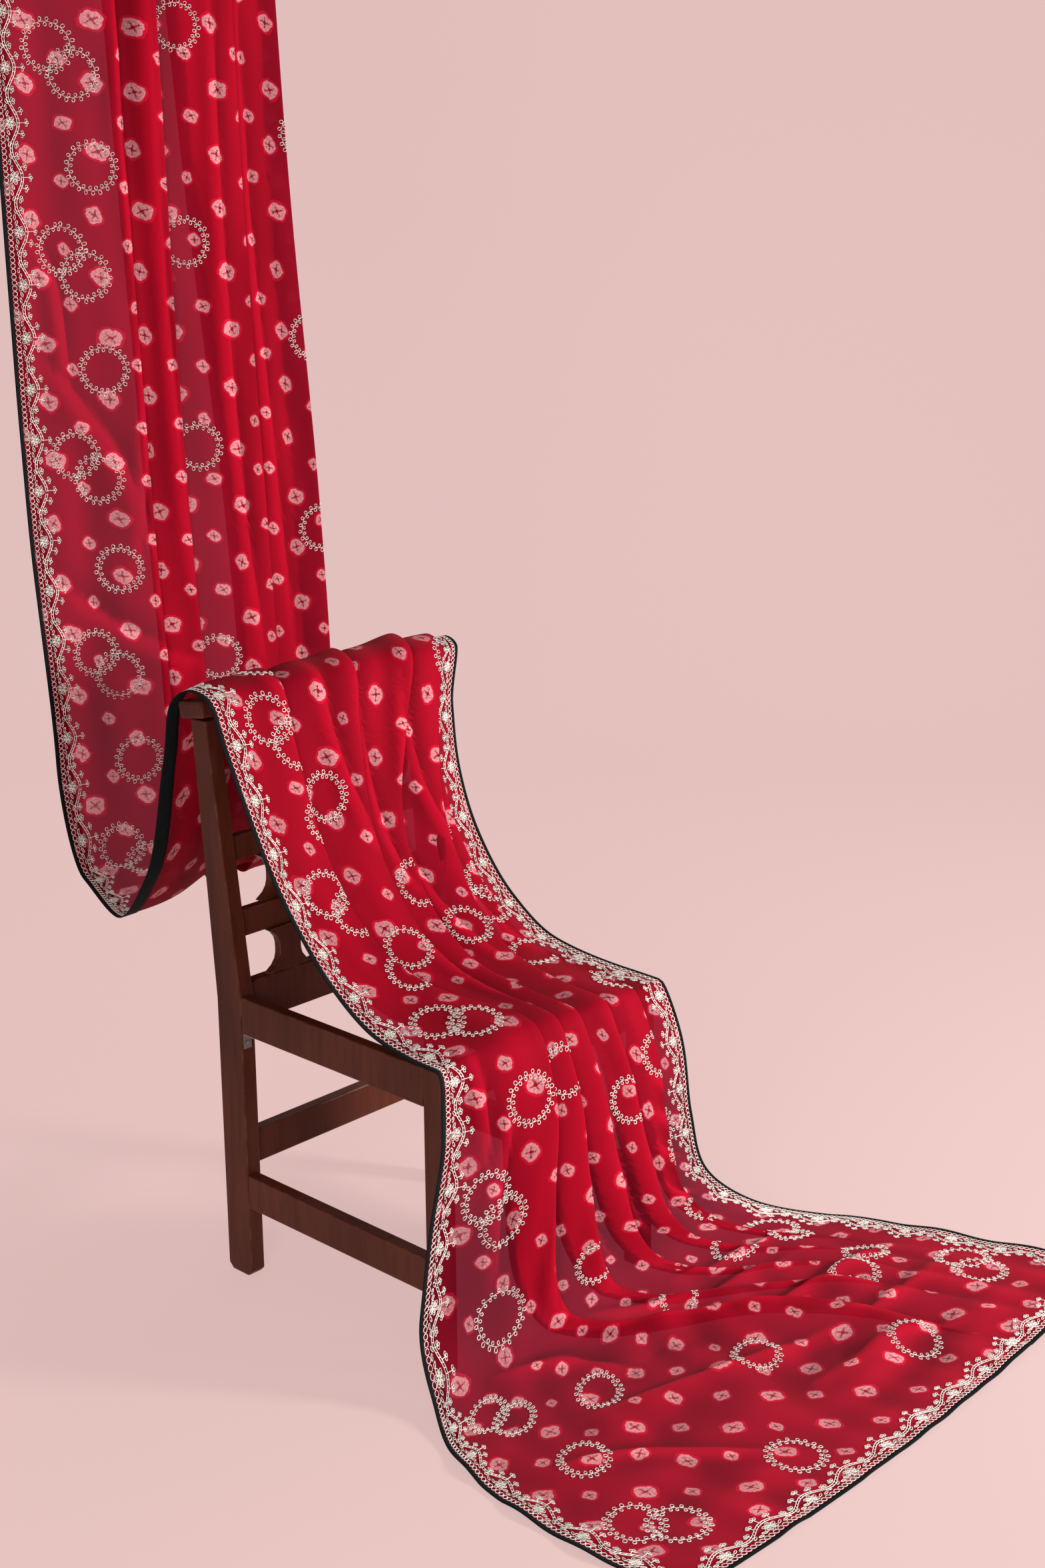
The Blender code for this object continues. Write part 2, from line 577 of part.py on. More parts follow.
def build_binding(grid, normals, collection):
    """The black strip, lofted round the borders and the hem as one closed solid."""
    profile = binding_profile()
    bm = bmesh.new()
    rings = []
    for point, inward, normal in binding_stations(grid, normals):
        rings.append([bm.verts.new(point + a * inward + b * normal) for a, b in profile])
    size = len(profile)
    for ring, following in zip(rings, rings[1:]):
        for k in range(size):
            after = (k + 1) % size
            if k == size - 2:
                bm.faces.new((ring[k], ring[after], following[after]))
                bm.faces.new((ring[k], following[after], following[k]))
            else:
                bm.faces.new((ring[after], following[after], following[k]))
                bm.faces.new((ring[after], following[k], ring[k]))
    for ring in (rings[0], rings[-1]):
        bm.faces.new((ring[0], ring[1], ring[6], ring[7]))
        bm.faces.new((ring[1], ring[2], ring[5], ring[6]))
        bm.faces.new((ring[2], ring[3], ring[4], ring[5]))
    bmesh.ops.recalc_face_normals(bm, faces=bm.faces)
    mesh = bpy.data.meshes.new("binding")
    bm.to_mesh(mesh)
    bm.free()
    return add_object("binding", mesh, BINDING_FINISH, collection)


# ---------------------------------------------------------------- assembly
def centre_on_floor(collection):
    """Move every piece so that the origin is the middle of the whole footprint box, at floor level."""
    bpy.context.view_layer.update()
    graph = bpy.context.evaluated_depsgraph_get()
    corners = []
    for obj in collection.objects:
        evaluated = obj.evaluated_get(graph)
        corners.extend(obj.matrix_world @ vertex.co for vertex in evaluated.data.vertices)
    low = [min(corner[axis] for corner in corners) for axis in range(3)]
    high = [max(corner[axis] for corner in corners) for axis in range(3)]
    shift = Vector((-0.5 * (low[0] + high[0]), -0.5 * (low[1] + high[1]), -low[2]))
    for obj in collection.objects:
        obj.location += shift


def main():
    clear_scene()
    collection = make_collection(NAME)
    build_legs(collection)
    build_crest_rail(collection)
    build_back(collection)
    build_seat_frame(collection)
    build_bracket(collection)
    grid = cloth_grid()
    cloth = build_cloth(grid, collection)
    normals = np.array([vertex.normal for vertex in cloth.data.vertices]).reshape(grid.shape)
    build_binding(grid, normals, collection)
    centre_on_floor(collection)


main()
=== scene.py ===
"""Bandhani cloth draped over a wooden chair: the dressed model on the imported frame.

The cloth's drape is worked out from the same named sections and pleats as its solid, only finer. Its tie-dyed dots are
a shader in the cloth's own width and length, and its thread work is real geometry laid on the drape. All lengths are
in metres.
"""

import logging
import math
from dataclasses import dataclass, field
from enum import Enum
from typing import Dict, List, Optional, Sequence, Tuple

import bmesh
import bpy
import numpy as np
from mathutils import Matrix, Vector

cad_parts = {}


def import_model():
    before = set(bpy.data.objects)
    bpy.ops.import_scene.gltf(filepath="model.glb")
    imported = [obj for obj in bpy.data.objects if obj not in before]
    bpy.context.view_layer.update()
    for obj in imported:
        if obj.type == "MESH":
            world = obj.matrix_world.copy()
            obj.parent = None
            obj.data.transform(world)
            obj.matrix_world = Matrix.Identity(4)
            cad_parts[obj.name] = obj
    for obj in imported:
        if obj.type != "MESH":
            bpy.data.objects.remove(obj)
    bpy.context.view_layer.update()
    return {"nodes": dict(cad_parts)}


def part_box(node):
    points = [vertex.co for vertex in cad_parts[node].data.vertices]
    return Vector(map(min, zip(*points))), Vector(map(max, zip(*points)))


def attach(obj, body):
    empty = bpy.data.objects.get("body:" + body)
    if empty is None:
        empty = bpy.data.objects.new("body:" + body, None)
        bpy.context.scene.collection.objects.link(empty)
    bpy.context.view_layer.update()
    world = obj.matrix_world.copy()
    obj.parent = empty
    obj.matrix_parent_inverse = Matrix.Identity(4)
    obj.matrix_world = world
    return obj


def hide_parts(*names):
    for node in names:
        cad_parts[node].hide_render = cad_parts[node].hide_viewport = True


logging.basicConfig(level=logging.INFO, format="%(message)s")
LOG = logging.getLogger("scene")

Array = np.ndarray
Point = Tuple[float, float, float]
Cord = Tuple[Array, float, bool]

BODY = "root"
CLOTH_WIDTH = 1.075
CLOTH_MAP = "cloth_metres"
FULL_TURN = 2.0 * math.pi
# The near seat rail's lowest corner in the frame of the section table below.
SEAT_RAIL_LOW = (0.0, -0.3757, 0.393)


# ------------------------------------------------------------------ finishes
@dataclass(frozen=True)
class DotShape:
    """Shape of a tied dot, as shares of its grid's pitch or of its own half width, and the scales of its noise."""

    jitter: float = 0.15
    warp: float = 0.50
    least_turn: float = 0.25
    more_turn: float = 1.1
    least_size: float = 0.86
    more_size: float = 0.26
    squeeze: Tuple[float, float] = (1.16, 0.90)
    squareness: float = 3.0
    undyed: Tuple[float, float] = (1.00, 0.94)
    rim: Tuple[float, float] = (1.30, 1.20)
    core: Tuple[float, float] = (0.25, 0.17)
    streak: Tuple[float, float] = (0.20, 0.10)
    streak_end: Tuple[float, float] = (0.68, 0.56)
    warp_scale: float = 115.0
    streak_scale: float = 520.0
    speck_scale: float = 300.0
    cover: float = 0.93


@dataclass(frozen=True)
class ClothFinish:
    """Colours and scale of the tie-dyed georgette, where it lies single and where it lies folded."""

    name: str = "bandhani_georgette"
    single: Point = (0.178, 0.0030, 0.0150)
    folded: Point = (0.398, 0.0030, 0.0180)
    halo_single: Point = (0.440, 0.006, 0.028)
    halo_folded: Point = (0.600, 0.006, 0.030)
    undyed: Point = (0.760, 0.330, 0.350)
    undyed_deep: Point = (0.550, 0.165, 0.200)
    spot: Point = (0.280, 0.006, 0.018)
    sheer_tint: Point = (0.27, 0.10, 0.16)
    dot_tint: Point = (0.55, 0.36, 0.42)
    sheer: float = 0.34
    sheer_folded: float = 0.10
    glow: float = 0.26
    pitch: float = 0.094
    large: float = 0.0134
    small: float = 0.0099
    # Range of the painted fold shading: the colour is multiplied by that shading times the first value, plus the
    # second.
    shade: Tuple[float, float] = (0.80, 0.55)
    mottle: float = 0.30
    weave: float = 1500.0
    roughness: float = 0.72
    specular: float = 0.03
    sheen: float = 0.015
    sheen_roughness: float = 0.45
    dot: DotShape = DotShape()


@dataclass(frozen=True)
class PlainFinish:
    """A finish of one colour with darker patches, and a fine grain where `bump` isn't 0."""

    name: str
    colour: Point
    roughness: float
    metallic: float = 0.0
    bump: float = 0.0
    bump_scale: float = 900.0
    specular: float = 0.3
    patch: float = 0.78
    patch_scale: float = 60.0


@dataclass(frozen=True)
class WoodFinish:
    """Dark red-brown stain with grain, worn edges and light flecks."""

    name: str = "stained_wood"
    dark: Point = (0.040, 0.0085, 0.0045)
    warm: Point = (0.097, 0.0222, 0.0100)
    worn: Point = (0.300, 0.1300, 0.0650)
    roughness: float = 0.42
    specular: float = 0.16
    cloud_stretch: Point = (1.0, 1.0, 0.35)
    cloud_scale: float = 5.0
    grain_stretch: Point = (1.0, 1.0, 0.12)
    grain_scale: float = 95.0
    rub_scale: float = 38.0
    fleck_scale: float = 170.0
    grain: float = 0.40
    rubbed: float = 0.55
    flecked: float = 0.50
    edge: float = 0.003


@dataclass(frozen=True)
class FloorFinish:
    """Pale floor whose own glow keeps its tone even."""

    name: str = "studio_floor"
    colour: Point = (0.80, 0.565, 0.545)
    glow: float = 0.74


THREAD = PlainFinish("silver_thread", (0.92, 0.87, 0.80), 0.42, 0.04)
BINDING = PlainFinish("black_binding", (0.007, 0.010, 0.011), 0.92, 0.0, 0.25, 2600.0, 0.08)
STEEL = PlainFinish("grey_steel", (0.30, 0.30, 0.31), 0.50, 0.85, 0.10, 500.0)


class Graph:
    """Small helper that writes a material's nodes."""

    def __init__(self, name: str) -> None:
        """Start an empty material.

        Args:
            name: The material's name.
        """
        self.material = bpy.data.materials.new(name)
        self.material.use_nodes = True
        self.tree = self.material.node_tree
        self.tree.nodes.clear()

    def node(self, kind: str, inputs: Optional[dict] = None, **settings: object) -> bpy.types.Node:
        """Add a node.

        Args:
            kind: The node's type without its prefix.
            inputs: A socket, a number or a tuple for each input, by its name or place.
            settings: Attributes to set on it.

        Returns:
            The node.
        """
        made = self.tree.nodes.new("ShaderNode" + kind)
        for key, value in settings.items():
            setattr(made, key, value)
        for key, source in (inputs or {}).items():
            target = made.inputs[key]
            if isinstance(source, bpy.types.NodeSocket):
                self.tree.links.new(source, target)
            else:
                target.default_value = (*source, 1.0) if target.type == "RGBA" else source
        return made

    def math(self, operation: str, *inputs: object) -> bpy.types.NodeSocket:
        """Result of a math node on sockets or numbers."""
        return self.node("Math", dict(enumerate(inputs)), operation=operation).outputs[0]

    def vector(self, operation: str, *inputs: object) -> bpy.types.NodeSocket:
        """Result of a vector math node.

        Args:
            operation: Its operation.
            inputs: Sockets, numbers or tuples.

        Returns:
            The result socket.
        """
        keys = (0, "Scale") if operation == "SCALE" else range(len(inputs))
        made = self.node("VectorMath", dict(zip(keys, inputs)), operation=operation)
        return made.outputs["Value" if operation == "DOT_PRODUCT" else 0]

    def fade(self, value: bpy.types.NodeSocket, low: float, high: float) -> bpy.types.NodeSocket:
        """Smooth step from 0 at low to 1 at high, or the other way round where low is larger.

        Args:
            value: The socket that is read.
            low: Where the result is 0.
            high: Where it is 1.

        Returns:
            The result socket.
        """
        inputs = {"Value": value, "From Min": min(low, high), "From Max": max(low, high)}
        inputs["To Min"], inputs["To Max"] = (1.0, 0.0) if low > high else (0.0, 1.0)
        return self.node("MapRange", inputs, interpolation_type="SMOOTHSTEP").outputs["Result"]

    def mix(self, share: object, first: object, second: object) -> bpy.types.NodeSocket:
        """Two colours mixed, with a share of the second."""
        return self.node("Mix", {0: share, 6: first, 7: second}, data_type="RGBA").outputs[2]

    def blend(self, share: object, first: object, second: object) -> bpy.types.NodeSocket:
        """Two shaders mixed, with a share of the second."""
        return self.node("MixShader", {0: share, 1: first, 2: second}).outputs[0]

    def noise(self, place: object, scale: float, detail: float = 2.0, output: str = "Fac") -> bpy.types.NodeSocket:
        """An output of a noise texture at a place."""
        return self.node("TexNoise", {"Vector": place, "Scale": scale, "Detail": detail}).outputs[output]

    def bump(self, height: object, strength: float, depth: float) -> bpy.types.NodeSocket:
        """The normal that a height gives, with its strength and its depth in metres."""
        return self.node("Bump", {"Strength": strength, "Distance": depth, "Height": height}).outputs["Normal"]

    def finish(self, shader: bpy.types.NodeSocket) -> bpy.types.Material:
        """The material, with this shader as its surface."""
        self.node("OutputMaterial", {"Surface": shader})
        return self.material


def plain_material(finish: PlainFinish) -> bpy.types.Material:
    """Material of one colour, with a fine grain where its finish has one.

    Args:
        finish: The finish.

    Returns:
        The material.
    """
    g = Graph(finish.name)
    place = g.node("TexCoord").outputs["Object"]
    dark = tuple(finish.patch * part for part in finish.colour)
    inputs = {
        "Base Color": g.mix(g.fade(g.noise(place, finish.patch_scale), 0.3, 0.7), dark, finish.colour),
        "Roughness": finish.roughness, "Metallic": finish.metallic, "Specular IOR Level": finish.specular,
    }
    if finish.bump:
        inputs["Normal"] = g.bump(g.noise(place, finish.bump_scale), finish.bump, 0.0004)
    return g.finish(g.node("BsdfPrincipled", inputs).outputs[0])


def wood_material(finish: WoodFinish) -> bpy.types.Material:
    """Stained wood, in the object's own coordinates.

    Args:
        finish: The finish.

    Returns:
        The material.
    """
    g = Graph(finish.name)
    place = g.node("TexCoord").outputs["Object"]
    clouds = g.noise(g.vector("MULTIPLY", place, finish.cloud_stretch), finish.cloud_scale)
    grain = g.noise(g.vector("MULTIPLY", place, finish.grain_stretch), finish.grain_scale, 5.0)
    rounded = g.node("Bevel", {"Radius": finish.edge}, samples=4).outputs[0]
    facing = g.vector("DOT_PRODUCT", rounded, g.node("NewGeometry").outputs["Normal"])
    patches = g.fade(g.noise(place, finish.rub_scale, 3.0), 0.42, 0.66)
    rub = g.math("MULTIPLY", g.fade(facing, 0.995, 0.86), patches)
    colour = g.mix(g.fade(clouds, 0.25, 0.75), finish.dark, finish.warm)
    for mask, share, tone in (
        (g.fade(grain, 0.44, 0.66), finish.grain, finish.dark),
        (rub, finish.rubbed, finish.worn),
        (g.fade(g.noise(place, finish.fleck_scale), 0.74, 0.80), finish.flecked, finish.worn),
    ):
        colour = g.mix(g.math("MULTIPLY", mask, share), colour, tone)
    shader = g.node("BsdfPrincipled", {
        "Base Color": colour, "Specular IOR Level": finish.specular, "Normal": g.bump(grain, 0.25, 0.0006),
        "Roughness": g.math("MULTIPLY_ADD", grain, 0.20, finish.roughness - 0.08),
    })
    return g.finish(shader.outputs[0])


class TieDye:
    """Shader of the tied dots: two square grids, one of large and one of small dots, half a pitch apart."""

    HALF = (0.5, 0.5, 0.5)

    def __init__(self, finish: ClothFinish) -> None:
        """Start the material.

        Args:
            finish: Its colours and sizes.
        """
        self.finish = finish
        self.graph = Graph(finish.name)

    def triple(self, value: bpy.types.NodeSocket) -> bpy.types.NodeSocket:
        """One value as a vector of three."""
        return self.graph.node("CombineXYZ", {axis: value for axis in range(3)}).outputs[0]

    def around(self, chance: bpy.types.NodeSocket, width: float) -> bpy.types.NodeSocket:
        """A random colour as a shift within a width round 0."""
        return self.graph.vector("SCALE", self.graph.vector("SUBTRACT", chance, self.HALF), width)

    def dots(self, place: bpy.types.NodeSocket, shift: float, size: float) -> Tuple[object, object, object]:
        """One grid of dots.

        Args:
            place: Cloth coordinates in metres.
            shift: The grid's shift, as a share of the pitch.
            size: The dots' half width.

        Returns:
            Masks of the undyed area, the bright rim round it, and the dark centre with its streaks.
        """
        g, pitch, dot = self.graph, self.finish.pitch, self.finish.dot
        start = (shift + 3.0) * pitch
        moved = g.vector("ADD", place, (start, start, 0.0))
        cell = g.vector("FLOOR", g.vector("SCALE", moved, 1.0 / pitch))
        seed = g.vector("ADD", cell, (7.3 * shift, 1.7, 4.1))
        chance = g.node("TexWhiteNoise", {"Vector": seed}, noise_dimensions="3D").outputs
        jitter = self.around(chance["Color"], dot.jitter * pitch)
        centre = g.vector("ADD", g.vector("SCALE", g.vector("ADD", cell, self.HALF), pitch), jitter)
        warp = self.around(g.noise(place, dot.warp_scale, output="Color"), dot.warp * size)
        local = g.vector("ADD", g.vector("SUBTRACT", moved, centre), warp)
        angle = g.math("MULTIPLY_ADD", chance["Value"], dot.more_turn, dot.least_turn)
        turned = g.node("VectorRotate", {"Vector": local, "Angle": angle}, rotation_type="Z_AXIS").outputs[0]
        scale = g.math("MULTIPLY_ADD", chance["Value"], dot.more_size * size, dot.least_size * size)
        sides = g.node("SeparateXYZ", {0: g.vector("DIVIDE", turned, self.triple(scale))}).outputs
        x, y = (g.math("MULTIPLY", g.math("ABSOLUTE", side), share) for side, share in zip(sides, dot.squeeze))
        total = g.math("ADD", *(g.math("POWER", side, dot.squareness) for side in (x, y)))
        distance = g.math("POWER", total, 1.0 / dot.squareness)
        rim = g.math("MULTIPLY", g.fade(distance, *dot.rim), g.fade(distance, *reversed(dot.undyed)))
        cross = g.fade(g.math("ABSOLUTE", g.math("SUBTRACT", x, y)), *dot.streak)
        broken = g.fade(g.noise(place, dot.streak_scale, 1.0), 0.38, 0.50)
        streaks = g.math("MULTIPLY", g.math("MULTIPLY", cross, g.fade(distance, *dot.streak_end)), broken)
        return g.fade(distance, *dot.undyed), rim, g.math("MAXIMUM", g.fade(distance, *dot.core), streaks)

    def build(self) -> bpy.types.Material:
        """Write the material.

        Returns:
            The sheer, tie-dyed cloth.
        """
        g, finish = self.graph, self.finish
        place = g.node("UVMap", uv_map=CLOTH_MAP).outputs[0]
        grids = (self.dots(place, 0.0, finish.large), self.dots(place, 0.5, finish.small))
        fill, rim, spot = (g.math("MAXIMUM", *pair) for pair in zip(*grids))
        layers_and_painted_light, painted_fold_shading = (g.node("Attribute", attribute_name=name).outputs["Fac"] for name in ("layers_and_painted_light", "painted_fold_shading"))
        clouds = g.math("MULTIPLY_ADD", g.noise(place, 7.0, 3.0), finish.mottle, -0.5 * finish.mottle)
        # Share of the brighter doubled red: layers of cloth, painted highlights on ridges, painted light by region,
        # and random mottle.
        folded = g.node("Math", {0: layers_and_painted_light, 1: clouds}, operation="ADD", use_clamp=True).outputs[0]
        colour = g.mix(folded, finish.single, finish.folded)
        colour = g.mix(rim, colour, g.mix(folded, finish.halo_single, finish.halo_folded))
        specks = g.fade(g.noise(place, finish.dot.speck_scale), 0.30, 0.62)
        pale = g.mix(specks, finish.undyed_deep, finish.undyed)
        colour = g.mix(g.math("MULTIPLY", fill, finish.dot.cover), colour, pale)
        colour = g.mix(g.math("MULTIPLY", spot, fill), colour, finish.spot)
        # Painted shade and light: the colour is scaled by the painted fold shading, darker in troughs and beside pleat
        # edges, lighter on ridges.
        colour = g.vector("MULTIPLY", colour, self.triple(g.math("MULTIPLY_ADD", painted_fold_shading, *finish.shade)))
        tint = g.mix(g.math("MULTIPLY", fill, 0.9), finish.sheer_tint, finish.dot_tint)
        weave = g.noise(g.vector("MULTIPLY", place, (1.0, 1.3, 1.0)), finish.weave, 1.0)
        face = g.node("BsdfPrincipled", {
            "Base Color": colour, "Normal": g.bump(weave, 0.30, 0.0003), "Roughness": finish.roughness,
            "Specular IOR Level": finish.specular, "Sheen Weight": finish.sheen,
            "Sheen Roughness": finish.sheen_roughness,
        }).outputs[0]
        glow = g.node("BsdfTranslucent", {"Color": colour}).outputs[0]
        clear = g.node("BsdfTransparent", {"Color": tint}).outputs[0]
        thin = g.math("MULTIPLY_ADD", folded, finish.sheer_folded - finish.sheer, finish.sheer)
        return g.finish(g.blend(thin, g.blend(finish.glow, face, glow), clear))


# ------------------------------------------------------------------ the drape
@dataclass(frozen=True)
class Section:
    """One section across the drape, in the chair's own frame: both borders, and how it stands between them.

    It rises by its crown and runs ahead by its bow in the middle, and its softness is how wide a fold turns.
    """

    name: str
    left: Point
    right: Point
    crown: float
    bow: float
    softness: float


SECTIONS: Tuple[Section, ...] = tuple(Section(*row) for row in (
    ("top", (0.100, 0.612, 1.950), (0.535, 0.530, 1.950), 0.015, 0.000, 0.0056),
    ("hang_upper", (0.103, 0.612, 1.500), (0.550, 0.530, 1.500), 0.020, 0.000, 0.0056),
    ("hang_middle", (0.112, 0.612, 1.050), (0.575, 0.528, 1.050), 0.020, 0.000, 0.0060),
    ("hang_low", (0.127, 0.602, 0.660), (0.590, 0.520, 0.680), 0.018, 0.000, 0.0065),
    ("swag_behind", (0.105, 0.515, 0.485), (0.590, 0.455, 0.505), 0.010, 0.000, 0.0062),
    ("swag_bottom", (0.046, 0.355, 0.476), (0.560, 0.325, 0.490), 0.010, 0.000, 0.0065),
    ("rise_low", (-0.002, 0.205, 0.585), (0.520, 0.205, 0.610), 0.010, 0.000, 0.0055),
    ("rise_high", (-0.009, 0.135, 0.785), (0.508, 0.135, 0.785), 0.004, 0.000, 0.0045),
    ("crest_back", (-0.010, 0.106, 0.876), (0.504, 0.106, 0.872), 0.001, 0.000, 0.0034),
    ("crest_top", (-0.009, 0.072, 0.892), (0.502, 0.072, 0.890), 0.001, 0.000, 0.0034),
    ("crest_front", (-0.009, 0.037, 0.884), (0.492, 0.038, 0.880), 0.001, 0.000, 0.0036),
    ("slope_high", (-0.005, 0.012, 0.815), (0.466, 0.022, 0.795), 0.000, 0.000, 0.0044),
    ("slope_upper", (0.000, -0.040, 0.690), (0.466, 0.008, 0.690), -0.010, 0.000, 0.0044),
    ("slope_middle", (0.000, -0.112, 0.583), (0.465, -0.035, 0.595), -0.015, 0.000, 0.0042),
    ("slope_low", (0.000, -0.190, 0.510), (0.465, -0.105, 0.513), -0.012, 0.000, 0.0040),
    ("seat_back", (-0.004, -0.280, 0.468), (0.460, -0.200, 0.466), -0.004, 0.000, 0.0038),
    ("seat_fore", (-0.006, -0.360, 0.4565), (0.452, -0.320, 0.4570), 0.000, 0.000, 0.0034),
    ("front_corner", (-0.007, -0.410, 0.4550), (0.453, -0.410, 0.4550), 0.000, 0.000, 0.0032),
    ("front_edge", (-0.008, -0.419, 0.4400), (0.456, -0.421, 0.4400), 0.001, 0.000, 0.0034),
    ("drop_high", (-0.012, -0.424, 0.355), (0.480, -0.434, 0.350), 0.006, 0.000, 0.0045),
    ("drop_middle", (-0.036, -0.424, 0.245), (0.500, -0.434, 0.235), 0.010, 0.000, 0.0055),
    ("drop_low", (-0.060, -0.425, 0.120), (0.550, -0.428, 0.120), 0.014, 0.000, 0.0065),
    ("landing", (-0.078, -0.462, 0.026), (0.670, -0.452, 0.026), 0.012, 0.000, 0.0070),
    ("floor_back", (-0.128, -0.545, 0.0030), (0.754, -0.532, 0.0030), -0.0005, 0.000, 0.0120),
    ("floor_middle", (-0.164, -0.680, 0.0030), (0.812, -0.674, 0.0030), -0.0005, 0.010, 0.0160),
    ("floor_fore", (-0.171, -0.820, 0.0030), (0.857, -0.806, 0.0030), -0.0005, 0.020, 0.0200),
    ("hem", (-0.152, -0.962, 0.0030), (0.898, -0.934, 0.0030), -0.0005, 0.028, 0.0220),
))
STAGES: Tuple[str, ...] = (
    "top", "hang_low", "swag_bottom", "crest_top", "slope_middle", "front_edge", "drop_low", "landing",
    "floor_middle", "hem",
)
FULLNESS: Tuple[float, ...] = (1.00, 0.70, 0.65, 0.75, 0.85, 0.80, 0.90, 0.50, 0.45, 0.12)
# Painted light, stage by stage: how far each region's colour is pulled toward the brighter doubled red, most on the
# crest, slope, front and floor.
PAINTED_LIGHT_BY_STAGE: Tuple[float, ...] = (0.55, 0.50, 0.45, 0.80, 0.80, 0.80, 0.12, 0.30, 0.78, 0.82)


@dataclass(frozen=True)
class Pleat:
    """A pleat that lies back under itself: at each stage its edge's place across the drape, and its overlap."""

    place: Tuple[float, ...]
    overlap: Tuple[float, ...]


PLEATS: Tuple[Pleat, ...] = (
    Pleat((0.42, 0.42, 0.40, 0.26, 0.25, 0.37, 0.37, 0.36, 0.68, 0.72),
          (0.012, 0.015, 0.030, 0.060, 0.080, 0.080, 0.060, 0.048, 0.026, 0.006)),
    Pleat((0.56, 0.57, 0.60, 0.54, 0.48, 0.47, 0.52, 0.50, 0.76, 0.80),
          (0.070, 0.070, 0.070, 0.075, 0.080, 0.070, 0.050, 0.032, 0.010, 0.004)),
    Pleat((0.86, 0.86, 0.85, 0.78, 0.62, 0.57, 0.65, 0.64, 0.82, 0.84),
          (0.034, 0.038, 0.048, 0.075, 0.065, 0.050, 0.042, 0.028, 0.005, 0.003)),
    Pleat((1.06, 1.10, 1.01, 0.92, 0.82, 0.70, 0.77, 0.76, 0.86, 0.87),
          (0.175, 0.180, 0.130, 0.055, 0.040, 0.040, 0.040, 0.026, 0.003, 0.002)),
    Pleat((0.84, 0.84, 0.88, 0.89, 0.89, 0.85, 0.87, 0.86, 0.90, 0.90),
          (0.000, 0.000, 0.000, 0.000, 0.016, 0.032, 0.036, 0.022, 0.002, 0.001)),
)


@dataclass(frozen=True)
class Crease:
    """A soft ridge along a line on the cloth. One side falls gently and the other steeply, in shares of its width."""

    path: Tuple[Tuple[float, float], ...]
    width: float
    height: float
    gentle: float = 2.4
    steep: float = 0.6


